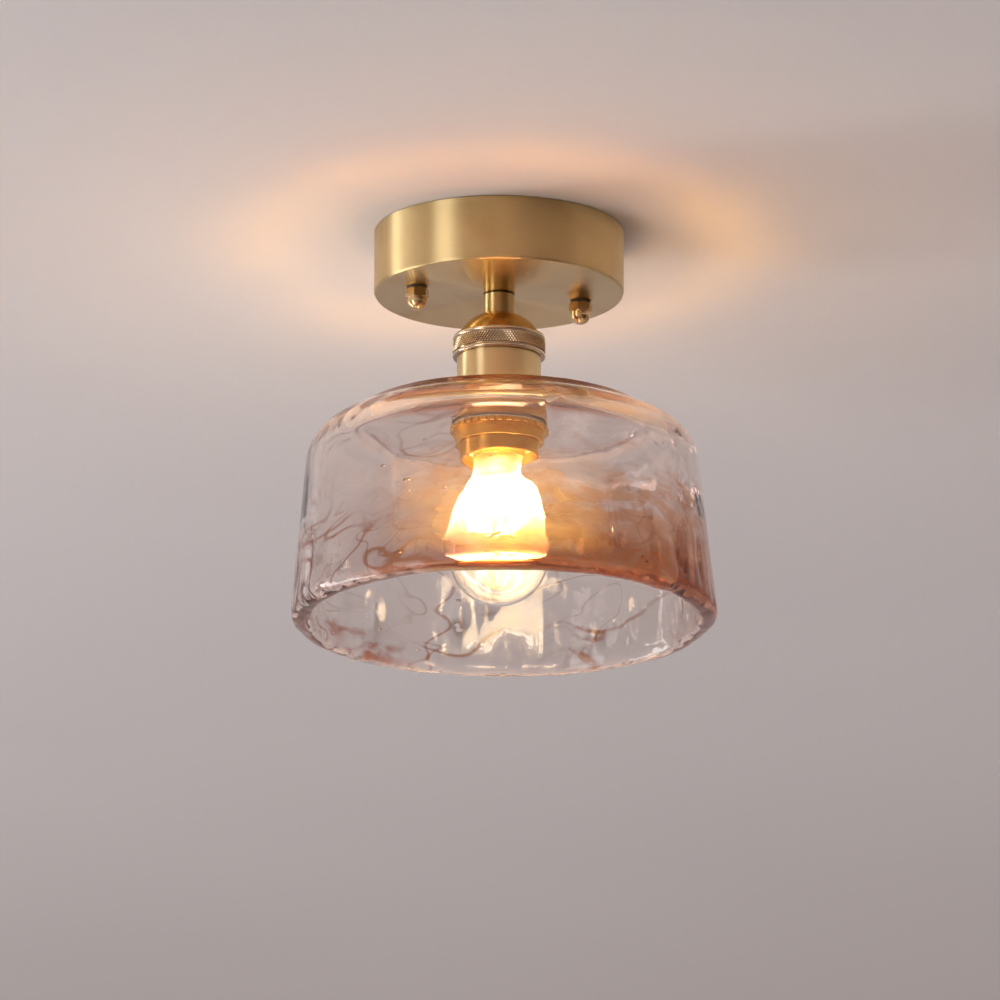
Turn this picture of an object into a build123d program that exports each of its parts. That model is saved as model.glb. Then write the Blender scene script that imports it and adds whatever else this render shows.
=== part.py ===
from build123d import *
from math import atan2, cos, degrees, hypot, pi, radians, sin, tan
import os

# Semi-flush ceiling light: a spun brass canopy on a steel crossbar, a knurled lamp holder,
# a thick glass drum shade clamped by a ring, and a screw-in bulb.
# Millimetres. The origin is the middle of the ceiling plane, +Z points up into the ceiling
# and +X runs along the crossbar, so the whole light hangs below zero.

# Clearances
thread_play = 0.1
slip_play = 0.3
seat_play = 0.2

# Canopy, a spun brass cup
canopy_diameter = 120.0
canopy_depth = 31.0
canopy_wall = 1.2
canopy_edge_radius = 1.5

# Crossbar, pressed from steel strip, with its two ends stepped away from the ceiling
bar_length = 98.0
bar_width = 20.0
bar_thickness = 1.5
bar_corner_radius = 4.0
bar_seat_length = 48.0
bar_drop = 4.5
bar_ramp = 4.0
bar_bend_radius = 1.5
cable_hole_diameter = 12.0
ceiling_slot_spacing = 34.0
ceiling_slot_width = 5.0
ceiling_slot_length = 10.0

# Studs that carry the canopy, with their lock nuts, washers and domed cap nuts
stud_spacing = 82.0
stud_diameter = 5.0
stud_head_diameter = 9.0
stud_head_height = 3.2
stud_head_radius = 1.4
stud_hole_play = 0.4
stud_tip_chamfer = 0.6
stud_slot_width = 1.2
stud_slot_depth = 1.4
lock_nut_across_flats = 8.0
lock_nut_height = 4.0
nut_washer_diameter = 9.6
nut_washer_thickness = 0.8
cap_nut_across_flats = 10.0
cap_nut_hex_height = 4.6
cap_nut_dome_diameter = 9.4
cap_nut_height = 10.4
cap_nut_bore_depth = 7.4
cap_nut_tip_room = 0.6
cap_nut_tip_flat = 0.1
hexagon_sides = 6
hex_chamfer_angle = 30.0

# Earth screw and its ring lug under one end of the crossbar
earth_screw_inset = 9.0
earth_screw_diameter = 3.5
earth_screw_head_diameter = 6.4
earth_screw_head_height = 2.2
earth_screw_rise = 1.6
earth_screw_slot_width = 0.9
earth_screw_slot_depth = 1.0
earth_lug_thickness = 0.8
earth_lug_diameter = 7.2
earth_lug_neck_width = 3.0
earth_lug_barrel_diameter = 3.4
earth_lug_barrel_start = 5.0
earth_lug_barrel_length = 5.0
earth_lug_heading = 144.0

# Terminal strip on the canopy floor
block_poles = 3
block_pitch = 9.0
block_margin = 0.6
block_depth = 18.0
block_height = 13.0
block_edge_radius = 1.0
block_offset = 36.0
block_pad_thickness = 1.0
block_pad_inset = 1.0
block_tube_diameter = 4.6
block_tube_bore = 3.0
block_tube_inset = 1.0
block_screw_diameter = 2.6
block_screw_head_diameter = 3.6
block_screw_spacing = 8.0
block_screw_head_depth = 1.4
block_screw_slot_width = 0.6
block_screw_slot_depth = 0.7

# Flexible wires
wire_diameter = 1.9
wire_end_room = 1.2
wire_corner_share = 0.45
lamp_wire_lift = 5.0
lamp_wire_gather = 3.0
lamp_wire_crest = 10.0
lamp_wire_run_in = 7.0
lamp_wire_fall = 6.0
earth_wire_run_out = 8.0
earth_wire_swing = 6.0
earth_wire_turn_back = 11.0
earth_wire_lift = 4.0
earth_wire_run_in = 4.0

# Threaded nipple through the canopy, with its nut, washer and bush
nipple_diameter = 10.0
nipple_bore = 7.0
nipple_rise = 2.4
nipple_engagement = 7.5
nipple_nut_across_flats = 14.0
nipple_nut_height = 3.5
nipple_washer_diameter = 17.0
nipple_washer_thickness = 1.0
bush_flange_diameter = 11.0
bush_flange_thickness = 1.2
bush_length = 6.0
bush_bore = 5.0

# Stem sleeve between canopy and lamp holder
stem_diameter = 15.0
stem_length = 10.5
stem_edge_radius = 0.3

# Lamp holder cap: dome, bead, diamond-knurled band, bead
cap_crown_radius = 8.6
cap_dome_height = 11.2
cap_dome_radius = 20.0
cap_dome_bow = 19.0
cap_rim_radius = 22.3
cap_bead_height = 1.9
cap_groove_width = 0.5
cap_groove_depth = 0.8
cap_band_height = 5.4
cap_wall = 2.6
cap_roof = 7.0
knurl_count = 100
knurl_depth = 0.45
knurl_helix_angle = 35.0
knurl_flank_angle = 90.0
knurl_overcut = 0.06

# Lamp holder shell, with the collar the shade is clamped against and a threaded spigot
shell_diameter = 40.4
shell_bore = 36.2
shell_thread_diameter = 39.6
shell_thread_length = 6.0
shell_show_length = 27.8
collar_diameter = 46.0
collar_thickness = 1.5
collar_edge_radius = 0.6
spigot_diameter = 38.4
spigot_length = 23.0
spigot_chamfer = 0.4

# Porcelain core inside the shell
core_rim_thickness = 3.0
core_well_diameter = 28.0
core_floor = 4.0
core_socket_depth = 22.5
core_recess = 5.0
core_edge_radius = 1.0

# Screw shell, centre contact and terminals on the core
screw_shell_wall = 0.4
screw_shell_lip = 4.0
screw_shell_mouth = 1.5
contact_width = 6.0
contact_thickness = 0.5
contact_drop = 1.7
contact_tail = 8.0
contact_bend_start = 3.6
contact_bend_end = 1.2
contact_nose = 3.2
post_width = 6.0
post_depth = 7.0
post_height = 8.0
post_offset = 8.5
post_wire_depth = 5.0
post_screw_diameter = 3.0
post_screw_head_diameter = 5.0
post_screw_head_height = 1.8
post_screw_slot_width = 0.8
post_screw_slot_depth = 0.9
rivet_diameter = 2.4
live_rivet_offset = 6.2
neutral_rivet_offset = 11.0

# Gaskets above and below the glass
gasket_thickness = 0.8
gasket_width = 3.6

# Glass shade, a moulded drum with a raised middle, a rounded shoulder and a heavy rim
shade_hole_play = 1.0
shade_hole_bend = 1.3
shade_top_thickness = 6.5
shade_crown_radius = 70.2
shade_step_radius = 73.4
shade_step_depth = 3.2
shade_inner_crown_radius = 68.6
shade_inner_step_radius = 71.0
shade_inner_step_depth = 6.6
shade_shoulder_radius = 92.8
shade_shoulder_fall = 8.6
shade_shoulder_bend = 18.0
shade_rim_radius = 102.2
shade_height = 103.5
shade_wall = 6.0
shade_rim_thickness = 9.4
shade_rim_bend = 6.2
shade_rim_inner_bend = 2.8
shade_soft_bend = 4.0
shade_inner_bend = 1.6

# Shade ring that screws on the spigot
ring_flange_diameter = 48.0
ring_flange_thickness = 2.2
ring_hub_diameter = 43.0
ring_height = 8.0
ring_notches = 36
ring_notch_diameter = 1.8
ring_edge_radius = 0.5

# Bulb
bulb_diameter = 48.0
bulb_length = 97.0
bulb_glass = 0.9
bulb_neck_diameter = 24.8
bulb_neck_straight = 4.5
bulb_neck_bend = 25.0
bulb_neck_insert = 5.0
bulb_cap_diameter = 26.4
bulb_cap_height = 21.0
bulb_cap_wall = 0.5
bulb_cap_shoulder = 2.4
bulb_thread_play = 0.3
bulb_tip_diameter = 9.2
bulb_tip_height = 1.2
bulb_tip_edge = 0.2
bulb_insulator_top_diameter = 12.0
bulb_insulator_diameter = 21.2
bulb_insulator_height = 3.6
bulb_stem_flare = 1.2
bulb_stem_diameter = 7.0
bulb_stem_taper = 7.0
bulb_stem_length = 14.0
bulb_mast_diameter = 1.2
bulb_arm_diameter = 0.8
bulb_arm_gap = 3.0
filament_count = 4
filament_diameter = 1.8
filament_drop = 32.0
filament_top_radius = 4.2
filament_foot_radius = 8.4
filament_end_room = 0.4

# Levels, from the ceiling down
canopy_floor_level = -(canopy_depth - canopy_wall)
bar_end_level = -bar_drop
bar_underside_level = bar_end_level - bar_thickness
nut_washer_level = -canopy_depth
cap_nut_level = nut_washer_level - nut_washer_thickness
stud_tip_level = cap_nut_level - cap_nut_bore_depth + cap_nut_tip_room
nipple_nut_level = canopy_floor_level + nipple_washer_thickness
nipple_top_level = nipple_nut_level + nipple_nut_height + nipple_rise
cap_top_level = -canopy_depth - stem_length
nipple_foot_level = cap_top_level - nipple_engagement
cap_dome_foot_level = cap_top_level - cap_dome_height
cap_skirt_height = 2 * cap_bead_height + 2 * cap_groove_width + cap_band_height
cap_rim_level = cap_dome_foot_level - cap_skirt_height
shell_top_level = cap_rim_level + shell_thread_length
core_top_level = shell_top_level + core_rim_thickness
collar_level = cap_rim_level - shell_show_length
spigot_end_level = collar_level - spigot_length
core_mouth_level = spigot_end_level + core_recess
core_floor_level = core_mouth_level + core_socket_depth
core_well_level = core_floor_level + core_floor
glass_top_level = collar_level - gasket_thickness
glass_inner_level = glass_top_level - shade_top_thickness
lower_gasket_foot_level = glass_inner_level - gasket_thickness
contact_level = core_floor_level - contact_thickness - contact_drop
bulb_tip_level = contact_level - seat_play
bulb_insulator_level = bulb_tip_level - bulb_tip_height
bulb_cap_level = bulb_insulator_level - bulb_insulator_height + bulb_cap_wall
bulb_cap_foot_level = bulb_cap_level - bulb_cap_height
bulb_neck_level = bulb_cap_foot_level + bulb_neck_insert
bulb_end_level = bulb_tip_level - bulb_length
bulb_centre_level = bulb_end_level + bulb_diameter / 2
bulb_mount_level = bulb_neck_level - slip_play
bulb_mount_foot_level = bulb_mount_level - bulb_stem_length
filament_top_level = bulb_mount_foot_level - bulb_arm_gap
filament_foot_level = filament_top_level - filament_drop
block_foot_level = canopy_floor_level + block_pad_thickness
block_axis_level = block_foot_level + block_height / 2
block_face = block_offset - block_depth / 2


def turned(*outline, radii=None):
    """Solid of revolution about Z from a closed outline of (radius, level) corners."""
    corners = radii or [0] * len(outline)
    profile = FilletPolyline(*outline, radius=corners, close=True)
    return revolve(Plane.XZ * make_face(profile.edges()), Axis.Z)


def ring(outer_diameter, inner_diameter, top, bottom):
    """Plain ring between two levels."""
    outer, inner = outer_diameter / 2, inner_diameter / 2
    return turned((inner, top), (outer, top), (outer, bottom), (inner, bottom))


def rod(diameter, top, bottom, at=(0, 0)):
    """Upright round bar between two levels."""
    bar = Cylinder(diameter / 2, top - bottom, align=(Align.CENTER, Align.CENTER, Align.MIN))
    return Pos(at[0], at[1], bottom) * bar


def hex_nut(across_flats, height, bore, top):
    """Hexagon with its corners turned off at both ends, under a level."""
    flat = across_flats / 2
    corner = flat / cos(pi / hexagon_sides)
    fall = (corner - flat) * tan(radians(hex_chamfer_angle))
    prism = extrude(RegularPolygon(flat, hexagon_sides, major_radius=False), height)
    barrel = turned((bore / 2, 0), (flat, 0), (corner, fall), (corner, height - fall),
                    (flat, height), (bore / 2, height))
    return Pos(0, 0, top - height) * (prism & barrel)


def driver_slot(length, width, depth, top, at=(0, 0)):
    """Straight screwdriver slot sunk from a level."""
    cut = Box(length, width, depth, align=(Align.CENTER, Align.CENTER, Align.MAX))
    return Pos(at[0], at[1], top) * cut


def wire(*points):
    """Round wire along straight runs joined by arcs as large as the runs allow."""
    route = [Vector(*point) for point in points]
    radii = []
    for before, corner, after in zip(route, route[1:], route[2:]):
        arriving, leaving = corner - before, after - corner
        half_turn = radians(arriving.get_angle(leaving)) / 2
        radii.append(wire_corner_share * min(arriving.length, leaving.length) / tan(half_turn))
    path = FilletPolyline(*route, radius=radii)
    print("wire length", round(path.length, 1), "radii", [round(radius, 1) for radius in radii])
    section = Plane(origin=path @ 0, z_dir=path % 0) * Circle(wire_diameter / 2)
    return sweep(section, path=path)


def make_canopy():
    """Spun cup, open at the ceiling, with the nipple hole and two stud holes in its floor."""
    outer = canopy_diameter / 2
    inner = outer - canopy_wall
    hole = nipple_diameter / 2 + slip_play
    inner_bend = max(canopy_edge_radius - canopy_wall, 0)
    cup = turned((hole, -canopy_depth), (outer, -canopy_depth), (outer, 0), (inner, 0),
                 (inner, canopy_floor_level), (hole, canopy_floor_level),
                 radii=[0, canopy_edge_radius, 0, 0, inner_bend, 0])
    stud_hole = rod(stud_diameter + 2 * stud_hole_play, 0, -2 * canopy_depth)
    for side in (-1, 1):
        cup -= Pos(side * stud_spacing / 2, 0, 0) * stud_hole
    return cup


def make_crossbar():
    """Strip with a flat middle against the ceiling and stepped ends for the stud heads."""
    seat_end = bar_seat_length / 2
    ramp_end = seat_end + bar_ramp
    half = bar_length / 2
    upper = [(-half, bar_end_level), (-ramp_end, bar_end_level), (-seat_end, 0),
             (seat_end, 0), (ramp_end, bar_end_level), (half, bar_end_level)]
    lower = [(x, z - bar_thickness) for x, z in reversed(upper)]
    bends = [0, *[bar_bend_radius] * 4, 0]
    side = make_face(FilletPolyline(*upper, *lower, radius=bends * 2, close=True).edges())
    strip = extrude(Plane.XZ * side, bar_width / 2, both=True)
    plan = RectangleRounded(bar_length, bar_width, bar_corner_radius)
    plan -= Circle(cable_hole_diameter / 2)
    slot = SlotOverall(ceiling_slot_length, ceiling_slot_width)
    stud_hole = Circle(stud_diameter / 2 + thread_play)
    for side_sign in (-1, 1):
        plan -= Pos(side_sign * ceiling_slot_spacing / 2, 0) * slot
        plan -= Pos(side_sign * stud_spacing / 2, 0) * stud_hole
    plan -= Pos(*earth_screw_place()) * Circle(earth_screw_diameter / 2 + thread_play)
    return strip & extrude(plan, 2 * bar_drop + 2 * bar_thickness, both=True)


def make_studs():
    """Two round-headed screws that hang from the crossbar ends."""
    shank, head = stud_diameter / 2, stud_head_diameter / 2
    head_top = bar_end_level + stud_head_height
    stud = turned((0, head_top), (head, head_top), (head, bar_end_level), (shank, bar_end_level),
                  (shank, stud_tip_level + stud_tip_chamfer), (shank - stud_tip_chamfer, stud_tip_level),
                  (0, stud_tip_level), radii=[0, stud_head_radius, 0, 0, 0, 0, 0])
    stud -= driver_slot(stud_head_diameter, stud_slot_width, stud_slot_depth, head_top)
    return [Pos(side * stud_spacing / 2, 0, 0) * stud for side in (-1, 1)]


def make_lock_nuts():
    """Hex nuts that lock the studs under the crossbar."""
    nut = hex_nut(lock_nut_across_flats, lock_nut_height, stud_diameter + 2 * thread_play,
                  bar_underside_level)
    return [Pos(side * stud_spacing / 2, 0, 0) * nut for side in (-1, 1)]


def make_nut_washer(side):
    """Thin dark washer between the canopy and a cap nut."""
    washer = ring(nut_washer_diameter, stud_diameter + 2 * thread_play, nut_washer_level, cap_nut_level)
    return Pos(side * stud_spacing / 2, 0, 0) * washer


def make_cap_nut(side):
    """Domed hexagon nut with a blind threaded hole."""
    dome = cap_nut_dome_diameter / 2
    foot = cap_nut_level - cap_nut_height
    hexagon = hex_nut(cap_nut_across_flats, cap_nut_hex_height, 0, cap_nut_level)
    crown = turned((0, cap_nut_level), (dome, cap_nut_level), (dome, foot), (0, foot),
                   radii=[0, 0, dome - cap_nut_tip_flat, 0])
    bore = rod(stud_diameter + 2 * thread_play, cap_nut_level, cap_nut_level - cap_nut_bore_depth)
    return Pos(side * stud_spacing / 2, 0, 0) * (hexagon + crown - bore)


def earth_screw_place():
    """Plan position of the earth screw."""
    return stud_spacing / 2 - earth_screw_inset, 0


def make_earth_screw():
    """Screw that clamps the lug up against the crossbar end."""
    shank, head = earth_screw_diameter / 2, earth_screw_head_diameter / 2
    seat = bar_underside_level - earth_lug_thickness
    foot = seat - earth_screw_head_height
    screw = turned((0, bar_end_level + earth_screw_rise), (shank, bar_end_level + earth_screw_rise),
                   (shank, seat), (head, seat), (head, foot), (0, foot),
                   radii=[0, 0, 0, 0, earth_screw_head_height / 2, 0])
    screw -= driver_slot(earth_screw_head_diameter, earth_screw_slot_width, earth_screw_slot_depth,
                         foot + earth_screw_slot_depth)
    return Pos(*earth_screw_place(), 0) * screw


def lug_axis():
    """Start point and direction of the lug's crimp barrel, towards the terminal strip."""
    x, y = earth_screw_place()
    heading = Vector(cos(radians(earth_lug_heading)), sin(radians(earth_lug_heading)), 0)
    level = bar_underside_level - earth_lug_barrel_diameter / 2
    return Vector(x, y, level), heading


def make_earth_lug():
    """Ring lug with a crimp barrel."""
    centre, _ = lug_axis()
    plate = Circle(earth_lug_diameter / 2)
    neck_length = earth_lug_barrel_start + earth_lug_barrel_length / 2
    plate += Pos(neck_length / 2, 0) * Rectangle(neck_length, earth_lug_neck_width)
    plate -= Circle(earth_screw_diameter / 2 + seat_play)
    tongue = Pos(0, 0, bar_underside_level) * extrude(plate, -earth_lug_thickness)
    barrel = Plane.YZ * Circle(earth_lug_barrel_diameter / 2)
    barrel = extrude(barrel, earth_lug_barrel_length)
    bore = extrude(Plane.YZ * Circle(wire_diameter / 2 + thread_play), earth_lug_barrel_length)
    start = Pos(earth_lug_barrel_start, 0, centre.Z)
    lug = tongue + start * barrel - start * bore
    return Pos(centre.X, centre.Y, 0) * Rot(0, 0, earth_lug_heading) * lug


def pole_places():
    """X of each pole of the terminal strip."""
    first = -(block_poles - 1) / 2 * block_pitch
    return [first + index * block_pitch for index in range(block_poles)]


def screw_places():
    """Plan position of each clamp screw of the terminal strip."""
    rows = (-block_screw_spacing / 2, block_screw_spacing / 2)
    return [(x, block_offset + row) for x in pole_places() for row in rows]


def along_block(x, diameter, length):
    """Round bar along Y through one pole, at the height of its wire."""
    bar = extrude(Plane.XZ * Circle(diameter / 2), length / 2, both=True)
    return Pos(x, block_offset, block_axis_level) * bar


def make_terminal_pad():
    """Adhesive pad that holds the terminal strip on the canopy floor."""
    width = block_poles * block_pitch + 2 * block_margin - 2 * block_pad_inset
    outline = RectangleRounded(width, block_depth - 2 * block_pad_inset, block_edge_radius)
    return Pos(0, block_offset, canopy_floor_level) * extrude(outline, block_pad_thickness)


def make_terminal_block():
    """Moulded strip with one wire bore and two screw wells for each pole."""
    width = block_poles * block_pitch + 2 * block_margin
    outline = RectangleRounded(width, block_depth, block_edge_radius)
    block = Pos(0, block_offset, block_foot_level) * extrude(outline, block_height)
    block = fillet(block.faces().sort_by(Axis.Z)[-1].edges(), block_edge_radius)
    top = block_foot_level + block_height
    for x in pole_places():
        block -= along_block(x, block_tube_diameter + 2 * seat_play, block_depth)
    for place in screw_places():
        block -= rod(block_screw_head_diameter + 2 * seat_play, top, block_axis_level, place)
    return block


def make_terminal_tubes():
    """Brass tubes in the strip, drilled for their clamp screws."""
    tubes = []
    for x in pole_places():
        length = block_depth - 2 * block_tube_inset
        tubes.append(along_block(x, block_tube_diameter, length) - along_block(x, block_tube_bore, length))
    drill = block_screw_diameter + 2 * thread_play
    for number, place in enumerate(screw_places()):
        hole = rod(drill, block_foot_level + block_height, block_axis_level, place)
        tubes[number // 2] -= hole
    return tubes


def make_terminal_screws():
    """Clamp screws of the strip, each down on its wire or the tube floor."""
    screws = []
    head_foot = block_axis_level + block_tube_diameter / 2 + seat_play
    head_top = head_foot + block_screw_head_depth
    tip = block_axis_level + wire_diameter / 2 + thread_play
    for place in screw_places():
        shank = rod(block_screw_diameter, head_foot, tip, place)
        head = rod(block_screw_head_diameter, head_top, head_foot, place)
        slot = driver_slot(block_screw_head_diameter, block_screw_slot_width, block_screw_slot_depth,
                           head_top, place)
        screws.append(shank + head - slot)
    return screws


def lamp_wire(side, pole):
    """Wire from a post on the core, up the nipple and over into its pole."""
    post_x = side * post_offset
    bore_x = side * (wire_diameter / 2 + seat_play)
    post_top = core_well_level + post_height
    crest = nipple_top_level + bush_flange_thickness + lamp_wire_crest
    run_in = block_face - lamp_wire_run_in
    return wire((post_x, 0, post_top - post_wire_depth + seat_play),
                (post_x, 0, post_top + lamp_wire_lift),
                (bore_x, 0, nipple_foot_level - lamp_wire_gather),
                (bore_x, 0, crest),
                (pole, run_in - lamp_wire_fall, crest),
                (pole, run_in, block_axis_level),
                (pole, block_face + block_tube_inset + block_screw_spacing, block_axis_level))


def make_earth_wire():
    """Wire from the lug to the last pole of the strip."""
    centre, heading = lug_axis()
    reach = earth_lug_barrel_start + wire_end_room
    pole = pole_places()[-1]
    return wire(centre + heading * reach,
                centre + heading * (reach + earth_wire_run_out),
                (pole + earth_wire_swing, block_face - earth_wire_turn_back,
                 block_axis_level + earth_wire_lift),
                (pole, block_face - earth_wire_run_in, block_axis_level),
                (pole, block_face + block_tube_inset + block_screw_spacing, block_axis_level))


def make_nipple():
    """Threaded tube that joins canopy and lamp holder and carries the wires."""
    return ring(nipple_diameter, nipple_bore, nipple_top_level, nipple_foot_level)


def make_nipple_nut():
    """Hex nut on the nipple inside the canopy."""
    bore = nipple_diameter + 2 * thread_play
    return hex_nut(nipple_nut_across_flats, nipple_nut_height, bore, nipple_nut_level + nipple_nut_height)


def make_nipple_washer():
    """Washer under the nipple nut."""
    return ring(nipple_washer_diameter, nipple_diameter + 2 * slip_play, nipple_nut_level, canopy_floor_level)


def make_nipple_bush():
    """Plastic bush that keeps the wires off the nipple's edge."""
    bore, flange = bush_bore / 2, bush_flange_diameter / 2
    spigot = nipple_bore / 2 - seat_play
    top = nipple_top_level + bush_flange_thickness
    foot = nipple_top_level - bush_length
    return turned((bore, top), (flange, top), (flange, nipple_top_level), (spigot, nipple_top_level),
                  (spigot, foot), (bore, foot),
                  radii=[bush_flange_thickness / 2, bush_flange_thickness / 2, 0, 0, 0, 0])


def make_stem():
    """Polished sleeve over the nipple."""
    outer, inner = stem_diameter / 2, nipple_diameter / 2 + slip_play
    return turned((inner, -canopy_depth), (outer, -canopy_depth), (outer, cap_top_level),
                  (inner, cap_top_level), radii=[0, stem_edge_radius, stem_edge_radius, 0])


def knurled_band(outer, inner, top, bottom):
    """Ring with two crossed sets of slanted V grooves."""
    band = ring(2 * outer, 2 * inner, top, bottom)
    half_width = knurl_depth * tan(radians(knurl_flank_angle / 2))
    mouth = half_width * (1 + knurl_overcut / knurl_depth)
    vee = Polyline((outer - knurl_depth, 0), (outer + knurl_overcut, mouth),
                   (outer + knurl_overcut, -mouth), close=True)
    length = (top - bottom) / cos(radians(knurl_helix_angle)) + 4 * half_width
    cutter = extrude(make_face(vee.edges()), length / 2, both=True)
    middle = (top + bottom) / 2
    for lean in (-knurl_helix_angle, knurl_helix_angle):
        slanted = Pos(0, 0, middle) * Rot(lean, 0, 0) * cutter
        band -= [Rot(0, 0, index * 360 / knurl_count) * slanted for index in range(knurl_count)]
    return band


def make_holder_cap():
    """Domed top of the lamp holder, threaded on the nipple and over the shell."""
    bore = nipple_diameter / 2 + thread_play
    mouth = shell_thread_diameter / 2 + thread_play
    roof = cap_top_level - cap_roof
    groove = cap_rim_radius - cap_groove_depth
    bead_foot = cap_dome_foot_level - cap_bead_height
    band_top = bead_foot - cap_groove_width
    band_foot = band_top - cap_band_height
    bead_top = band_foot - cap_groove_width
    cavity = mouth - cap_wall
    crown = Line((bore, cap_top_level), (cap_crown_radius, cap_top_level))
    dome = RadiusArc(crown @ 1, (cap_dome_radius, cap_dome_foot_level), cap_dome_bow)
    upper_bead = ThreePointArc(dome @ 1, (cap_rim_radius, cap_dome_foot_level - cap_bead_height / 2),
                               (groove, bead_foot))
    neck = Line(upper_bead @ 1, (groove, bead_top))
    lower_bead = ThreePointArc(neck @ 1, (cap_rim_radius, bead_top - cap_bead_height / 2),
                               (groove, cap_rim_level))
    inside = Polyline(lower_bead @ 1, (mouth, cap_rim_level), (mouth, core_top_level),
                      (cavity, core_top_level), (cavity, roof), (bore, roof), crown @ 0)
    outline = [crown, dome, upper_bead, neck, lower_bead, *inside.edges()]
    body = revolve(Plane.XZ * make_face(outline), Axis.Z)
    return body + knurled_band(cap_rim_radius, (groove + mouth) / 2, band_top, band_foot)


def make_holder_shell():
    """Straight brass shell with a thread at each end and the collar above the glass."""
    bore, body = shell_bore / 2, shell_diameter / 2
    thread, spigot, collar = shell_thread_diameter / 2, spigot_diameter / 2, collar_diameter / 2
    collar_top = collar_level + collar_thickness
    return turned((bore, shell_top_level), (thread, shell_top_level), (thread, cap_rim_level - slip_play),
                  (body, cap_rim_level - slip_play), (body, collar_top), (collar, collar_top),
                  (collar, collar_level), (spigot, collar_level),
                  (spigot, spigot_end_level + spigot_chamfer), (spigot - spigot_chamfer, spigot_end_level),
                  (bore, spigot_end_level),
                  radii=[0, 0, 0, 0, collar_edge_radius, collar_edge_radius, 0, 0, 0, 0, 0])


def socket_radius():
    """Radius of the core's lower bore, which holds the screw shell."""
    return bulb_cap_diameter / 2 + bulb_thread_play + screw_shell_wall + seat_play


def make_porcelain_core():
    """Porcelain body: terminal well above, lamp socket below, rim clamped under the cap."""
    rim = shell_thread_diameter / 2 - seat_play
    body = shell_bore / 2 - slip_play
    well, socket = core_well_diameter / 2, socket_radius()
    core = turned((well, core_top_level), (rim, core_top_level), (rim, shell_top_level),
                  (body, shell_top_level), (body, core_mouth_level), (socket, core_mouth_level),
                  (socket, core_floor_level), (0, core_floor_level), (0, core_well_level),
                  (well, core_well_level),
                  radii=[0, 0, 0, 0, core_edge_radius, core_edge_radius, 0, 0, 0, 0])
    for x in (-live_rivet_offset, neutral_rivet_offset):
        core -= rod(rivet_diameter + 2 * thread_play, core_well_level, core_floor_level, (x, 0))
    return core


def make_screw_shell():
    """Thin screw shell with an inward lip under the core's floor."""
    outer = socket_radius() - seat_play
    inner = outer - screw_shell_wall
    lip = outer - screw_shell_lip
    lip_foot = core_floor_level - screw_shell_wall
    foot = core_mouth_level + screw_shell_mouth
    shell = turned((lip, core_floor_level), (outer, core_floor_level), (outer, foot), (inner, foot),
                   (inner, lip_foot), (lip, lip_foot))
    return shell - rod(rivet_diameter + 2 * thread_play, core_floor_level, lip_foot, (neutral_rivet_offset, 0))


def make_centre_contact():
    """Sprung strip under the core's floor that meets the bulb's tip."""
    flat, nose = core_floor_level, core_floor_level - contact_drop
    upper = [(-contact_tail, flat), (-contact_bend_start, flat), (-contact_bend_end, nose), (contact_nose, nose)]
    lower = [(x, z - contact_thickness) for x, z in reversed(upper)]
    side = make_face(Polyline(*upper, *lower, close=True).edges())
    strip = extrude(Plane.XZ * side, contact_width / 2, both=True)
    return strip - rod(rivet_diameter + 2 * thread_play, flat, nose, (-live_rivet_offset, 0))


def make_core_rivets():
    """Rivets that join the posts to the contact strip and the screw shell through the floor."""
    live = rod(rivet_diameter, core_well_level, core_floor_level - contact_thickness, (-live_rivet_offset, 0))
    neutral = rod(rivet_diameter, core_well_level, core_floor_level - screw_shell_wall,
                  (neutral_rivet_offset, 0))
    return [live, neutral]


def make_core_posts():
    """Brass terminal posts on the core's floor, bored for a wire and its clamp screw."""
    posts = []
    top = core_well_level + post_height
    for side in (-1, 1):
        x = side * post_offset
        post = Pos(x, 0, core_well_level) * extrude(Rectangle(post_width, post_depth), post_height)
        post -= rod(wire_diameter + 2 * thread_play, top, top - post_wire_depth, (x, 0))
        post -= post_screw_bore(x)
        posts.append(post)
    return posts


def post_screw_bore(x):
    """Tapped hole from a post's front face to its wire hole."""
    level = core_well_level + post_height - post_wire_depth / 2
    hole = extrude(Plane.XZ * Circle(post_screw_diameter / 2 + thread_play), post_depth / 2)
    return Pos(x, 0, level) * hole


def make_post_screws():
    """Clamp screws in the fronts of the posts."""
    screws = []
    level = core_well_level + post_height - post_wire_depth / 2
    tip = wire_diameter / 2 + thread_play
    for side in (-1, 1):
        shank = extrude(Plane.XZ * Circle(post_screw_diameter / 2), post_depth / 2 - tip)
        head = extrude(Plane.XZ * Circle(post_screw_head_diameter / 2), post_screw_head_height)
        screw = Pos(0, -tip, 0) * shank + Pos(0, -post_depth / 2, 0) * head
        face = post_depth / 2 + post_screw_head_height
        slot = driver_slot(post_screw_head_diameter, post_screw_slot_width, post_screw_slot_depth, face)
        screw -= Rot(90, 0, 0) * slot
        screws.append(Pos(side * post_offset, 0, level) * screw)
    return screws


def make_gasket(top):
    """Silicone ring under a level, around the spigot."""
    inner = spigot_diameter + 2 * slip_play
    return ring(inner + 2 * gasket_width, inner, top, top - gasket_thickness)


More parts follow.
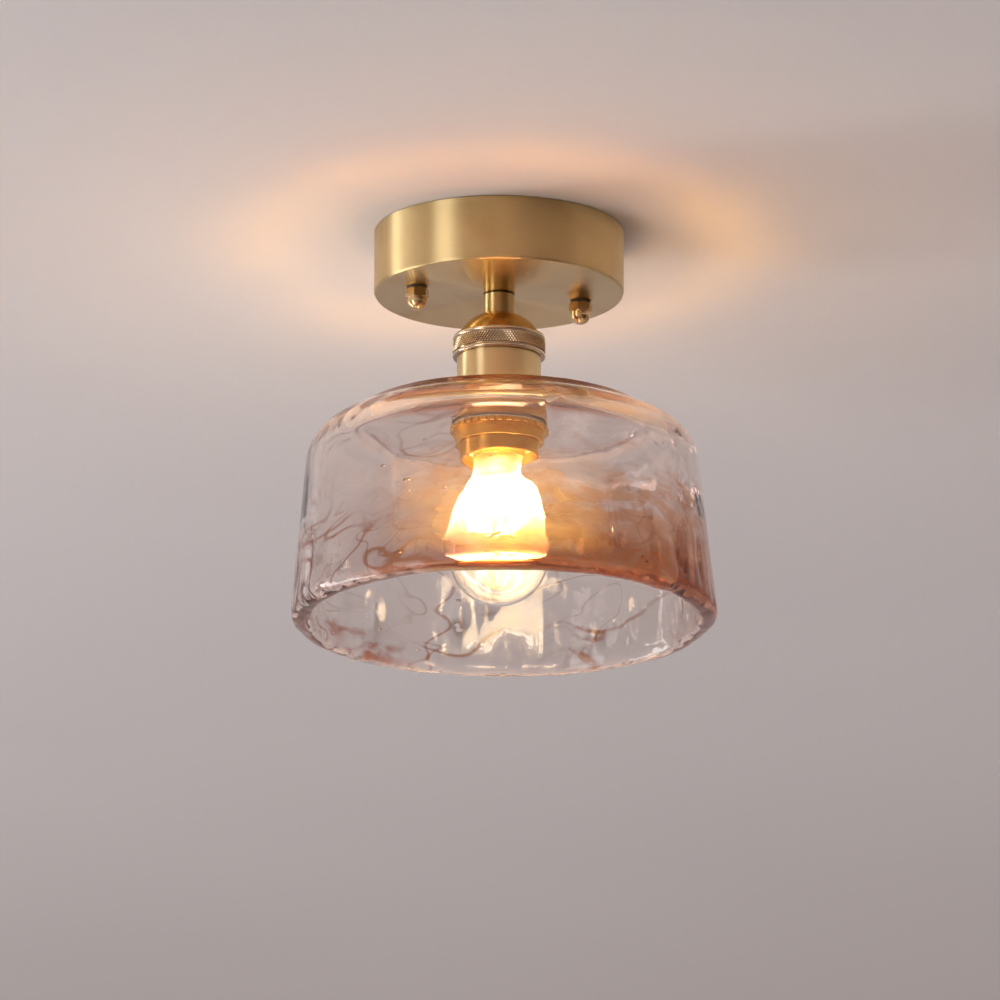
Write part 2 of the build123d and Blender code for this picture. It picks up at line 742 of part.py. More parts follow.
def make_glass_shade():
    """Heavy glass drum: raised middle, soft step, rounded shoulder, flared wall and thick rim.

    The raised middle is deeper inside than outside, so the shoulder is the thickest part.
    """
    hole = spigot_diameter / 2 + shade_hole_play
    step = glass_top_level - shade_step_depth
    shoulder = step - shade_shoulder_fall
    foot = glass_top_level - shade_height
    return turned((hole, glass_top_level), (shade_crown_radius, glass_top_level), (shade_step_radius, step),
                  (shade_shoulder_radius, shoulder), (shade_rim_radius, foot),
                  (shade_rim_radius - shade_rim_thickness, foot),
                  (shade_shoulder_radius - shade_wall, shoulder - shade_top_thickness),
                  (shade_inner_step_radius, glass_inner_level - shade_inner_step_depth),
                  (shade_inner_crown_radius, glass_inner_level), (hole, glass_inner_level),
                  radii=[shade_hole_bend, shade_soft_bend, shade_soft_bend, shade_shoulder_bend,
                         shade_rim_bend, shade_rim_inner_bend, shade_shoulder_bend - shade_wall,
                         shade_soft_bend, shade_inner_bend, shade_hole_bend])


def make_shade_ring():
    """Flanged ring nut with finger notches round its edge."""
    bore = spigot_diameter / 2 + thread_play
    flange, hub = ring_flange_diameter / 2, ring_hub_diameter / 2
    top = lower_gasket_foot_level
    flange_foot, foot = top - ring_flange_thickness, top - ring_height
    nut = turned((bore, top), (flange, top), (flange, flange_foot), (hub, flange_foot), (hub, foot),
                 (bore, foot), radii=[0, ring_edge_radius, ring_edge_radius, 0, ring_edge_radius, 0])
    notch = rod(ring_notch_diameter, top, flange_foot, (flange, 0))
    return nut - [Rot(0, 0, index * 360 / ring_notches) * notch for index in range(ring_notches)]


def bulb_wall(skin):
    """Half outline of the bulb's glass, set in from its outside by the skin.

    A straight neck, two arcs that swell it out to the widest point, and a half round end.
    """
    radius, body = bulb_neck_diameter / 2 - skin, bulb_diameter / 2 - skin
    swell_top = bulb_cap_foot_level - bulb_neck_straight
    turn = 2 * atan2(body - radius, swell_top - bulb_centre_level)
    bend = bulb_neck_bend + skin
    inflection = (radius + bend * (1 - cos(turn)), swell_top - bend * sin(turn))
    neck = Line((radius, bulb_neck_level), (radius, swell_top))
    flare = TangentArc(neck @ 1, inflection, tangent=neck % 1)
    shoulder = TangentArc(flare @ 1, (body, bulb_centre_level), tangent=flare % 1)
    end = RadiusArc(shoulder @ 1, (0, bulb_centre_level - body), body)
    return neck, flare, shoulder, end


def make_bulb_globe():
    """Blown glass envelope, open at the neck inside the cap."""
    outer, inner = bulb_wall(0), bulb_wall(bulb_glass)
    mouth = Line(outer[0] @ 0, inner[0] @ 0)
    pole = Line(outer[-1] @ 1, inner[-1] @ 1)
    return revolve(Plane.XZ * make_face([*outer, pole, *inner, mouth]), Axis.Z)


def make_bulb_cap():
    """Screw cap of the bulb, a thin shell with a drawn-in top."""
    body = bulb_cap_diameter / 2
    lip = bulb_insulator_diameter / 2 + seat_play
    shoulder = bulb_cap_level - bulb_cap_shoulder
    skin = bulb_cap_wall
    return turned((lip, bulb_cap_level), (lip + skin, bulb_cap_level), (body, shoulder),
                  (body, bulb_cap_foot_level), (body - skin, bulb_cap_foot_level), (body - skin, shoulder),
                  (lip, bulb_cap_level - skin))


def make_bulb_insulator():
    """Dark insulating disc in the cap's top."""
    top, body = bulb_insulator_top_diameter / 2, bulb_insulator_diameter / 2
    foot = bulb_insulator_level - bulb_insulator_height
    edge = foot + bulb_insulator_height / 2
    return turned((0, bulb_insulator_level), (top, bulb_insulator_level), (body, edge), (body, foot), (0, foot))


def make_bulb_tip():
    """Soldered centre contact of the bulb."""
    tip = bulb_tip_diameter / 2
    return turned((0, bulb_tip_level), (tip, bulb_tip_level), (tip, bulb_insulator_level),
                  (0, bulb_insulator_level), radii=[0, bulb_tip_height - bulb_tip_edge, 0, 0])


def make_bulb_stem():
    """Glass mount fused to the neck, with the post that carries the filaments."""
    flare = bulb_neck_diameter / 2 - bulb_glass - seat_play
    post = bulb_stem_diameter / 2
    shelf = bulb_mount_level - bulb_stem_flare
    return turned((0, bulb_mount_level), (flare, bulb_mount_level), (flare, shelf),
                  (post, shelf - bulb_stem_taper), (post, bulb_mount_foot_level), (0, bulb_mount_foot_level),
                  radii=[0, 0, 0, bulb_stem_taper / 2, post / 2, 0])


def make_bulb_mast():
    """Metal mast with two spiders whose arms hold the filaments."""
    mast = rod(bulb_mast_diameter, bulb_mount_foot_level, filament_foot_level)
    for level, reach in ((filament_top_level, filament_top_radius), (filament_foot_level, filament_foot_radius)):
        arm = extrude(Plane.YZ * Circle(bulb_arm_diameter / 2), reach + filament_diameter / 2)
        for index in range(filament_count):
            mast += Pos(0, 0, level) * Rot(0, 0, index * 360 / filament_count) * arm
    return mast


def make_filaments():
    """Straight glowing rods between the two spiders."""
    lean = degrees(atan2(filament_foot_radius - filament_top_radius, filament_drop))
    slant = hypot(filament_foot_radius - filament_top_radius, filament_drop)
    length = slant - bulb_arm_diameter - 2 * filament_end_room
    middle_radius = (filament_top_radius + filament_foot_radius) / 2
    middle_level = (filament_top_level + filament_foot_level) / 2
    stick = Pos(middle_radius, 0, middle_level) * Rot(0, -lean, 0) * Cylinder(filament_diameter / 2, length)
    return [Rot(0, 0, index * 360 / filament_count) * stick for index in range(filament_count)]


def save(name, *solids):
    """Write one node, a single solid or a group of separate ones."""
    shape = solids[0] if len(solids) == 1 else Compound(children=list(solids))
    export_step(shape, f"parts/{name}.step")


os.makedirs("parts", exist_ok=True)

save("crossbar", make_crossbar())
save("crossbar_studs", *make_studs())
save("stud_lock_nuts", *make_lock_nuts())
save("earth_screw", make_earth_screw())
save("earth_lug", make_earth_lug())
save("earth_wire", make_earth_wire())
save("canopy", make_canopy())
save("terminal_pad", make_terminal_pad())
save("terminal_block", make_terminal_block())
save("terminal_tubes", *make_terminal_tubes())
save("terminal_screws", *make_terminal_screws())
save("live_wire", lamp_wire(-1, pole_places()[0]))
save("neutral_wire", lamp_wire(1, pole_places()[1]))
save("nipple", make_nipple())
save("nipple_nut", make_nipple_nut())
save("nipple_washer", make_nipple_washer())
save("nipple_bush", make_nipple_bush())
save("stem_sleeve", make_stem())
save("holder_cap", make_holder_cap())
save("holder_shell", make_holder_shell())
save("porcelain_core", make_porcelain_core())
save("screw_shell", make_screw_shell())
save("centre_contact", make_centre_contact())
save("core_rivets", *make_core_rivets())
save("core_posts", *make_core_posts())
save("post_screws", *make_post_screws())
save("upper_gasket", make_gasket(collar_level))
save("glass_shade", make_glass_shade())
save("lower_gasket", make_gasket(glass_inner_level))
save("shade_ring", make_shade_ring())
save("bulb_globe", make_bulb_globe())
save("bulb_cap", make_bulb_cap())
save("bulb_insulator", make_bulb_insulator())
save("bulb_tip", make_bulb_tip())
save("bulb_stem", make_bulb_stem())
save("bulb_mast", make_bulb_mast())
save("bulb_filaments", *make_filaments())
for side_name, side_sign in (("left", -1), ("right", 1)):
    save(f"nut_washer_{side_name}", make_nut_washer(side_sign))
    save(f"cap_nut_{side_name}", make_cap_nut(side_sign))
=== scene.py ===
"""Semi-flush ceiling light with a rippled glass drum: finishes, glass, threads and lighting.

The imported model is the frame. Every mesh made here is in metres in that frame, +Z up into the
ceiling, with the light hanging below zero.
"""
import logging
import math
import random
from dataclasses import dataclass
from enum import Enum
from typing import Callable, Sequence, Union

import bmesh
import bpy
from mathutils import Matrix, Vector, noise

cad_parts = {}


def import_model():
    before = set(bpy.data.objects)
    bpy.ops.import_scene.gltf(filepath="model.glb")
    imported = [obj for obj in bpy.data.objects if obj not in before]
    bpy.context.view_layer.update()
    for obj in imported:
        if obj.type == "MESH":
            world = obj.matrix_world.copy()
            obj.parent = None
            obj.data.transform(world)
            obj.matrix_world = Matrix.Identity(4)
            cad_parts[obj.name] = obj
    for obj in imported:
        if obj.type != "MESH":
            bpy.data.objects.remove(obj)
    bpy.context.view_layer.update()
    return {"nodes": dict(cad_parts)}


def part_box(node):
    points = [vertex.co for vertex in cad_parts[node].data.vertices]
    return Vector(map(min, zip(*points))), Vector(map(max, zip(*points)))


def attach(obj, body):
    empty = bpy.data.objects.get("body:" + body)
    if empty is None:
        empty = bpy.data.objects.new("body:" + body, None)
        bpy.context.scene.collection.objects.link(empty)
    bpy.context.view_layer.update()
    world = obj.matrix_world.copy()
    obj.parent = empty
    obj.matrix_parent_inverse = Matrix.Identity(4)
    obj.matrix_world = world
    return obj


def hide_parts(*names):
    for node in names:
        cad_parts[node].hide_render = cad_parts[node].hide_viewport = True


LOG = logging.getLogger("ceiling_light")
MM = 0.001
FULL_TURN = 2 * math.pi
SAME_PLACE = 1e-6

Colour = tuple[float, float, float]
Triple = tuple[float, float, float]
Span = tuple[float, float]
Point = tuple[float, float]
Operand = Union["Socket", float]


class Socket:
    """One output of a node tree, with arithmetic that adds Math nodes."""

    def __init__(self, graph: "Graph", end: bpy.types.NodeSocket) -> None:
        """Wrap an output socket of the graph's tree."""
        self.graph = graph
        self.end = end

    def math(self, operation: str, *operands: Operand) -> "Socket":
        """Add a Math node.

        Args:
            operation: The node's operation.
            operands: Sockets or numbers for its inputs, in order.

        Returns:
            The node's value.
        """
        return self.graph.node("ShaderNodeMath", {"operation": operation},
                               dict(enumerate(operands)))

    def __add__(self, other: Operand) -> "Socket":
        """Sum of two values."""
        return self.math("ADD", self, other)

    def __sub__(self, other: Operand) -> "Socket":
        """Difference of two values."""
        return self.math("SUBTRACT", self, other)

    def __rsub__(self, other: Operand) -> "Socket":
        """Difference with this value taken away."""
        return self.math("SUBTRACT", other, self)

    def __mul__(self, other: Operand) -> "Socket":
        """Product of two values."""
        return self.math("MULTIPLY", self, other)

    def __truediv__(self, other: Operand) -> "Socket":
        """Quotient of two values."""
        return self.math("DIVIDE", self, other)

    def __pow__(self, other: Operand) -> "Socket":
        """Power of a value."""
        return self.math("POWER", self, other)

    def __abs__(self) -> "Socket":
        """Size of a value without its sign."""
        return self.math("ABSOLUTE", self)

    __radd__ = __add__
    __rmul__ = __mul__


class Graph:
    """Node tree of one material or of the world."""

    def __init__(self, owner: Union[bpy.types.Material, bpy.types.World]) -> None:
        """Empty the owner's node tree and keep it.

        Args:
            owner: The material or the world.
        """
        owner.use_nodes = True
        self.owner = owner
        self.tree = owner.node_tree
        self.tree.nodes.clear()

    def node(self, kind: str, settings: dict | None = None, inputs: dict | None = None,
             output: Union[int, str] = 0) -> Socket | None:
        """Add any node.

        Args:
            kind: The node's type.
            settings: Its properties, set first; "stops" fills a colour ramp.
            inputs: Values or sockets for its inputs, by name or number.
            output: Which output to return.

        Returns:
            That output, or nothing for a node that has none.
        """
        made = self.tree.nodes.new(kind)
        for name, value in (settings or {}).items():
            if name == "stops":
                self._fill_ramp(made.color_ramp, value)
            else:
                setattr(made, name, value)
        for name, value in (inputs or {}).items():
            if isinstance(value, Socket):
                self.tree.links.new(value.end, made.inputs[name])
            else:
                made.inputs[name].default_value = value
        outputs = made.outputs
        return Socket(self, outputs[output]) if len(outputs) else None

    @staticmethod
    def _fill_ramp(ramp: bpy.types.ColorRamp, stops: Sequence[tuple[float, Colour]]) -> None:
        """Give a colour ramp its stops.

        Args:
            ramp: The ramp.
            stops: Position and colour of each stop, in order.
        """
        while len(ramp.elements) < len(stops):
            ramp.elements.new(1.0)
        for element, (position, colour) in zip(ramp.elements, stops):
            element.position = position
            element.color = (*colour, 1.0)

    def place(self) -> Socket:
        """Object coordinates."""
        return self.node("ShaderNodeTexCoord", output="Object")

    def split(self, vector: Socket) -> list[Socket]:
        """The three components of a vector."""
        parts = self.node("ShaderNodeSeparateXYZ", inputs={0: vector}).end.node
        return [Socket(self, parts.outputs[index]) for index in range(3)]

    def vector(self, x: Operand, y: Operand, z: Operand) -> Socket:
        """A vector from three components."""
        return self.node("ShaderNodeCombineXYZ", inputs={0: x, 1: y, 2: z})

    def vector_math(self, operation: str, first: Socket,
                    second: Union[Socket, Sequence[float]]) -> Socket:
        """Add a Vector Math node on two vectors."""
        return self.node("ShaderNodeVectorMath", {"operation": operation}, {0: first, 1: second})

    def along(self, vector: Socket, direction: Sequence[float]) -> Socket:
        """How far a vector reaches along a direction."""
        return self.node("ShaderNodeVectorMath", {"operation": "DOT_PRODUCT"},
                         {0: vector, 1: direction}, "Value")

    def noise(self, vector: Socket, scale: float, detail: float = 2.0,
              output: str = "Fac") -> Socket:
        """Smooth noise at a scale in cells a metre."""
        inputs = {"Vector": vector, "Scale": scale, "Detail": detail}
        return self.node("ShaderNodeTexNoise", inputs=inputs, output=output)

    def ease(self, value: Socket, low: float, high: float) -> Socket:
        """Smooth step from 0 at low to 1 at high, which may lie below low."""
        return self.node("ShaderNodeMapRange", {"interpolation_type": "SMOOTHSTEP"},
                         {"Value": value, "From Min": low, "From Max": high})

    def mix(self, first: Union[Socket, Colour], second: Union[Socket, Colour],
            factor: Operand) -> Socket:
        """Blend of two colours."""
        ends = [value if isinstance(value, Socket) else (*value, 1.0) for value in (first, second)]
        return self.node("ShaderNodeMix", {"data_type": "RGBA"},
                         {0: factor, 6: ends[0], 7: ends[1]}, 2)

    def bump(self, height: Socket, strength: float, depth: float) -> Socket:
        """Normal of a relief of the given depth in metres."""
        inputs = {"Height": height, "Strength": strength, "Distance": depth}
        return self.node("ShaderNodeBump", inputs=inputs)

    def principled(self, **inputs: object) -> Socket:
        """Principled shader, with its sockets named in snake case."""
        named = {key.replace("_", " ").title().replace("Ior", "IOR"): value
                 for key, value in inputs.items()}
        return self.node("ShaderNodeBsdfPrincipled", inputs=named)

    def blend(self, first: Socket, second: Socket, factor: Operand) -> Socket:
        """Blend of two shaders."""
        return self.node("ShaderNodeMixShader", inputs={0: factor, 1: first, 2: second})

    def see_through(self, tint: Colour) -> Socket:
        """Shader that lets light straight through with a tint."""
        return self.node("ShaderNodeBsdfTransparent", inputs={"Color": (*tint, 1.0)})

    def for_shadows(self, shader: Socket, clear: Socket) -> Socket:
        """A shader, but another one for the rays that look for lamps."""
        return self.blend(shader, clear, self.node("ShaderNodeLightPath", output="Is Shadow Ray"))

    def finish(self, surface: Socket, volume: Socket | None = None) -> None:
        """Wire a shader, and a volume if there is one, to the output.

        Args:
            surface: The shader.
            volume: The volume's shader.
        """
        kind = "World" if isinstance(self.owner, bpy.types.World) else "Material"
        ends = {"Surface": surface}
        if volume:
            ends["Volume"] = volume
        self.node(f"ShaderNodeOutput{kind}", inputs=ends)


@dataclass(frozen=True)
class Finish:
    """A surface finish, made into a material once."""

    name: str

    def material(self) -> bpy.types.Material:
        """The finish's material, built on first use.

        Returns:
            The material.
        """
        title = f"{self.name}_finish"
        known = bpy.data.materials.get(title)
        if known:
            return known
        graph = Graph(bpy.data.materials.new(title))
        self.build(graph)
        return graph.owner

    def build(self, graph: Graph) -> None:
        """Fill the node tree."""
        raise NotImplementedError


@dataclass(frozen=True)
class TurnedMetal(Finish):
    """Metal turned on a lathe, with fine lines that run round the Z axis.

    An upper tone starts at its level, a dark seam runs round at its own, and what lies within
    the radii of a groove, below the upper tone, is shaded.
    """

    tone: Colour
    tarnish: Colour
    roughness: float
    spread: float = 0.0
    lines: float = 2600.0
    line_drift: float = 40.0
    line_depth: float = 0.03 * MM
    relief: float = 0.25
    cloud_cells: float = 38.0
    upper_tone: Colour | None = None
    upper_level: float = 0.0
    upper_edge: float = 0.3 * MM
    seam: float | None = None
    seam_tone: Colour = (0.06, 0.035, 0.015)
    seam_edge: Span = (0.9 * MM, 0.4 * MM)
    groove: Span | None = None
    groove_tone: Colour = (0.14, 0.10, 0.07)
    groove_share: float = 0.35
    groove_top: Span = (1.9 * MM, 2.2 * MM)
    under_facing: Span = (-0.6, -0.95)
    under_polish: float = 0.5

    def build(self, graph: Graph) -> None:
        """Lathe lines in colour, gloss and relief, under a slow tarnish.

        Args:
            graph: The material's nodes.
        """
        place = graph.place()
        x, y, z = graph.split(place)
        radius = (x * x + y * y) ** 0.5
        lathe = graph.vector(radius * self.lines, z * self.lines, x * self.line_drift)
        line = graph.noise(lathe, 1.0, 3.0)
        cloud = graph.noise(place, self.cloud_cells, 4.0)
        facing = graph.split(graph.node("ShaderNodeNewGeometry", output="Normal"))[2]
        under = graph.ease(facing, *self.under_facing)
        roughness = self.roughness * (0.82 + 0.36 * line) + 0.03 * graph.ease(cloud, 0.45, 0.7)
        tarnish = graph.ease(cloud, 0.42, 0.72) * 0.45 + graph.ease(line, 0.5, 0.75) * 0.25
        colour = self.marked(graph, graph.mix(self.tone, self.tarnish, tarnish), radius, z)
        graph.finish(graph.principled(base_color=colour, metallic=1.0,
                                      roughness=roughness * (1 - self.under_polish * under),
                                      anisotropic=self.spread, anisotropic_rotation=0.25,
                                      normal=graph.bump(line, self.relief, self.line_depth)))

    def marked(self, graph: Graph, colour: Socket, radius: Socket, z: Socket) -> Socket:
        """Add the upper tone, the seam and the groove's shade to the colour.

        Args:
            graph: The material's nodes.
            colour: The metal's colour so far.
            radius: Distance from the Z axis.
            z: Level.

        Returns:
            The colour with its marks.
        """
        if self.upper_tone:
            above = graph.ease(z, self.upper_level - self.upper_edge, self.upper_level)
            colour = graph.mix(colour, self.upper_tone, above)
        if self.seam is not None:
            colour = graph.mix(colour, self.seam_tone,
                               graph.ease(abs(z - self.seam), *self.seam_edge))
        if self.groove:
            below = graph.ease(z, *(self.upper_level - fall for fall in self.groove_top))
            sunk = graph.ease(radius, *self.groove) * below
            colour = graph.mix(colour, self.groove_tone, self.groove_share * sunk)
        return colour


@dataclass(frozen=True)
class PlatedMetal(Finish):
    """Rolled, pressed or plated metal, with a fine cloudy grain and handling marks."""

    tone: Colour
    stain: Colour
    roughness: float
    grain: float = 420.0
    grain_depth: float = 0.04 * MM
    cloud_cells: float = 120.0
    mark_cells: float = 160.0
    mark_stretch: Triple = (1.0, 7.0, 1.0)

    def build(self, graph: Graph) -> None:
        """Cloud and grain in colour and gloss.

        Args:
            graph: The material's nodes.
        """
        place = graph.place()
        cloud = graph.noise(place, self.cloud_cells, 5.0)
        grain = graph.noise(place, self.grain, 3.0)
        drawn = graph.vector_math("MULTIPLY", place, self.mark_stretch)
        mark = graph.ease(graph.noise(drawn, self.mark_cells, 6.0), 0.6, 0.8)
        stain = graph.ease(cloud, 0.4, 0.75) * 0.6 + mark * 0.2
        graph.finish(graph.principled(base_color=graph.mix(self.tone, self.stain, stain),
                                      metallic=1.0,
                                      roughness=self.roughness + 0.12 * (grain - 0.5) + 0.1 * mark,
                                      normal=graph.bump(grain, 0.15, self.grain_depth)))


@dataclass(frozen=True)
class Moulded(Finish):
    """Moulded, fired or cut solid colour, with slight mottling and a skin."""

    tone: Colour
    mottle: Colour
    roughness: float
    grain: float
    relief: float
    glaze: float = 0.0
    glaze_roughness: float = 0.06
    cloud_cells: float = 90.0
    skin_depth: float = 0.08 * MM

    def build(self, graph: Graph) -> None:
        """Mottled colour and a pebbled skin, with a glaze where there is one.

        Args:
            graph: The material's nodes.
        """
        place = graph.place()
        cloud = graph.noise(place, self.cloud_cells, 4.0)
        skin = graph.noise(place, self.grain, 3.0)
        colour = graph.mix(self.tone, self.mottle, graph.ease(cloud, 0.35, 0.75))
        graph.finish(graph.principled(base_color=colour,
                                      roughness=self.roughness + 0.15 * (skin - 0.5),
                                      coat_weight=self.glaze, coat_roughness=self.glaze_roughness,
                                      normal=graph.bump(skin, self.relief, self.skin_depth)))


@dataclass(frozen=True)
class Insulation(Finish):
    """Wire insulation, plain or with a second colour spiralled along it."""

    tone: Colour
    stripe: Colour
    slant: Triple = (0.9, 0.6, 0.8)
    turns: float = 1100.0
    stripe_edge: Span = (-0.25, 0.25)
    roughness: float = 0.42
    skin_cells: float = 900.0
    skin_depth: float = 0.05 * MM

    def build(self, graph: Graph) -> None:
        """Slanted stripes that become a faint shade where both colours are alike.

        Args:
            graph: The material's nodes.
        """
        place = graph.place()
        x, y, z = graph.split(place)
        slant = (x * self.slant[0] + y * self.slant[1] + z * self.slant[2]) * self.turns
        band = graph.ease(slant.math("SINE", slant), *self.stripe_edge)
        skin = graph.noise(place, self.skin_cells, 3.0)
        colour = graph.mix(self.tone, self.stripe, band)
        graph.finish(graph.principled(base_color=colour,
                                      roughness=self.roughness + 0.2 * (skin - 0.5),
                                      normal=graph.bump(skin, 0.2, self.skin_depth)))


@dataclass(frozen=True)
class ClearGlass(Finish):
    """Thin blown glass, with a faint frost round the filaments and a painted reflection of the
    brass holder, a yellow-brown tint at the top near the cap.
    """

    tint: Colour
    neck_reflection: Colour
    neck_level: float
    frost: float
    frost_top: float
    frost_foot: float
    neck_fade: float = 9.0 * MM
    ior: float = 1.45
    skin_cells: float = 70.0
    skin_depth: float = 0.4 * MM

    def build(self, graph: Graph) -> None:
        """Clear glass with faint drawing marks.

        Args:
            graph: The material's nodes.
        """
        place = graph.place()
        skin = graph.noise(place, self.skin_cells, 3.0)
        level = graph.split(place)[2]
        frost = graph.ease(level, self.frost_foot, self.frost_top) * self.frost
        # Painted reflection: up to its level the glass turns the yellow-brown of the brass holder
        # that it stands in for.
        neck_reflection_share = graph.ease(level, self.neck_level - self.neck_fade, self.neck_level)
        glass = graph.principled(base_color=graph.mix(self.tint, self.neck_reflection, neck_reflection_share),
                                 transmission_weight=1.0, ior=self.ior, roughness=frost,
                                 normal=graph.bump(skin, 0.06, self.skin_depth))
        graph.finish(graph.for_shadows(glass, graph.see_through(self.tint)))


@dataclass(frozen=True)
class GlassPlace:
    """Where a point of the shade lies, as the sockets that the parts of its finish share.

    Height counts from the rim, front and across from the axis. Near is 1 on the half that faces
    the camera's side, outside is 1 on the outer skin, and dense is 1 where the amber was laid.
    """

    place: Socket
    height: Socket
    front: Socket
    across: Socket
    near: Socket
    outside: Socket
    dense: Socket
    flow: Socket
    drawn: Socket
    cloud: Socket
    streak: Socket


@dataclass(frozen=True)
class Strand:
    """A family of thin curving lines: cells a metre, level of the noise, width and strength."""

    cells: float
    level: float
    width: float
    strength: float

    def shown(self, graph: Graph, flow: Socket) -> Socket:
        """The lines where a noise in the flow crosses the level."""
        cross = abs(graph.noise(flow, self.cells, 1.2) - self.level)
        return self.strength * graph.ease(cross, self.width, 0.0)


@dataclass(frozen=True)
class StreakedGlass(Finish):
    """Heavy hand-made glass in a rose tint, with amber-brown wisps drawn through it."""

    rim_level: float
    rim_middle: float
    height: float
    lean: float = 0.096
    clear: Colour = (0.977, 0.928, 0.90)
    # Peach, crown and crown side shade colour the crown with painted shade of the long sight line
    # through its thick glass.
    peach: Colour = (0.99, 0.82, 0.64)
    crown: Colour = (0.50, 0.13, 0.05)
    crown_side_shade: Colour = (0.17, 0.03, 0.012)
    crown_stops: tuple[float, float, float, float] = (0.84, 0.885, 0.935, 0.964)
    crown_edge: Span = (0.952, 0.966)
    wisp: Colour = (0.38, 0.09, 0.025)
    amber: Colour = (0.40, 0.055, 0.007)
    pale_amber: Colour = (0.86, 0.40, 0.19)
    lit_amber: Colour = (1.0, 0.66, 0.26)
    depth_tint: Colour = (0.80, 0.56, 0.50)
    depth_density: float = 6.0
    ior: float = 1.5
    amber_side: Triple = (0.37, -0.93, 0.0)
    smear_side: Triple = (-0.595, 0.804, 0.0)
    front: Triple = (-0.286, -0.958, 0.0)
    right: Triple = (0.958, -0.286, 0.0)
    skin_edge: float = 0.5 * MM
    top_skin: Span = (4.2 * MM, 3.2 * MM)
    warp_cells: float = 13.0
    warp_reach: Triple = (0.06, 0.06, 0.045)
    flow_stretch: Triple = (1.0, 1.0, 2.4)
    drawn_stretch: Triple = (1.0, 1.0, 2.2)
    cloud_cells: float = 24.0
    streak_cells: float = 74.0
    patch_cells: float = 17.0
    strands: tuple[Strand, ...] = (Strand(9.0, 0.5, 0.016, 1.0), Strand(15.0, 0.44, 0.018, 1.0),
                                   Strand(21.0, 0.55, 0.016, 0.7))
    amber_strand: Strand = Strand(26.0, 0.5, 0.02, 0.5)
    amber_reach: Span = (0.068, 0.03)
    amber_depth: Span = (0.05, 0.01)
    amber_foot: Span = (0.024, 0.012)
    edge_reach: Span = (0.014, 0.005)
    smear_reach: Span = (0.085, 0.097)
    smear_lift: float = 6.0 * MM
    relief: float = 0.25
    relief_depth: float = 1.2 * MM
    relief_cells: Span = (60.0, 150.0)
    halo_share: float = 0.4
    halo_cells: float = 42.0
    halo_width: Span = (0.06, 0.018)
    halo_top: Span = (0.068, 0.03)
    halo_foot: Span = (0.004, 0.018)
    crest_share: float = 0.09
    crest_foot: Span = (0.083, 0.088)
    crest_top: Span = (0.098, 0.095)
    light_shift: float = 0.008
    light_squash: float = 0.8
    light_waver: float = 0.014
    light_circle: float = 0.044
    light_inside: Span = (0.016, 0.01)
    light_outside: Span = (0.009, 0.001)
    light_middle: float = 0.24
    light_cells: float = 27.0
    light_passed: Colour = (0.95, 0.88, 0.82)
    light_held: Colour = (0.085, 0.075, 0.07)

    def survey(self, graph: Graph) -> GlassPlace:
        """Work out where a point lies and how the melt flowed there.

        Args:
            graph: The material's nodes.

        Returns:
            The sockets that the other methods share.
        """
        place = graph.place()
        x, y, z = graph.split(place)
        height = z - self.rim_level
        radius = (x * x + y * y) ** 0.5
        outside = graph.ease(radius - (self.rim_middle - self.lean * height),
                             -self.skin_edge, self.skin_edge)
        top = graph.ease(height, *(self.height - fall for fall in self.top_skin))
        warp = graph.noise(place, self.warp_cells, 2.0, "Color")
        warp = graph.vector_math("SUBTRACT", warp, (0.5, 0.5, 0.5))
        warp = graph.vector_math("MULTIPLY", warp, self.warp_reach)
        flow = graph.vector_math("ADD", place, warp)
        flow = graph.vector_math("MULTIPLY", flow, self.flow_stretch)
        drawn = graph.vector_math("MULTIPLY", flow, self.drawn_stretch)
        front = graph.along(place, self.front)
        laid = graph.ease(graph.along(place, self.amber_side), -0.01, 0.08)
        return GlassPlace(place=place, height=height, front=front,
                          across=graph.along(place, self.right),
                          near=graph.ease(front, 0.0, 0.05),
                          outside=outside.math("MAXIMUM", outside, top), dense=0.08 + 0.92 * laid,
                          flow=flow, drawn=drawn, cloud=graph.noise(drawn, self.cloud_cells, 4.0),
                          streak=graph.ease(graph.noise(flow, self.streak_cells, 6.0), 0.36, 0.64))

    def crown_shaded(self, graph: Graph, at: GlassPlace) -> Socket:
        """Painted shade: clear glass turns peach and then rose-brown towards the crown, mostly on
        the camera's half and darker still at the crown's sides, for the long sight line through the
        thick crown.

        Args:
            graph: The material's nodes.
            at: Where the point lies.

        Returns:
            The colour.
        """
        share = at.height / self.height
        stops = list(zip(self.crown_stops, (self.clear, self.peach, self.peach, self.crown)))
        crown = graph.node("ShaderNodeValToRGB", {"stops": stops}, {"Fac": share}, "Color")
        aside = graph.ease(abs(at.across), 0.01, 0.034) * graph.ease(share, *self.crown_edge)
        crown = graph.mix(crown, self.crown_side_shade, aside)
        # The painted shade is laid mostly on the half that faces the camera.
        return graph.mix(self.clear, crown, at.outside * (0.2 + 0.8 * at.near))

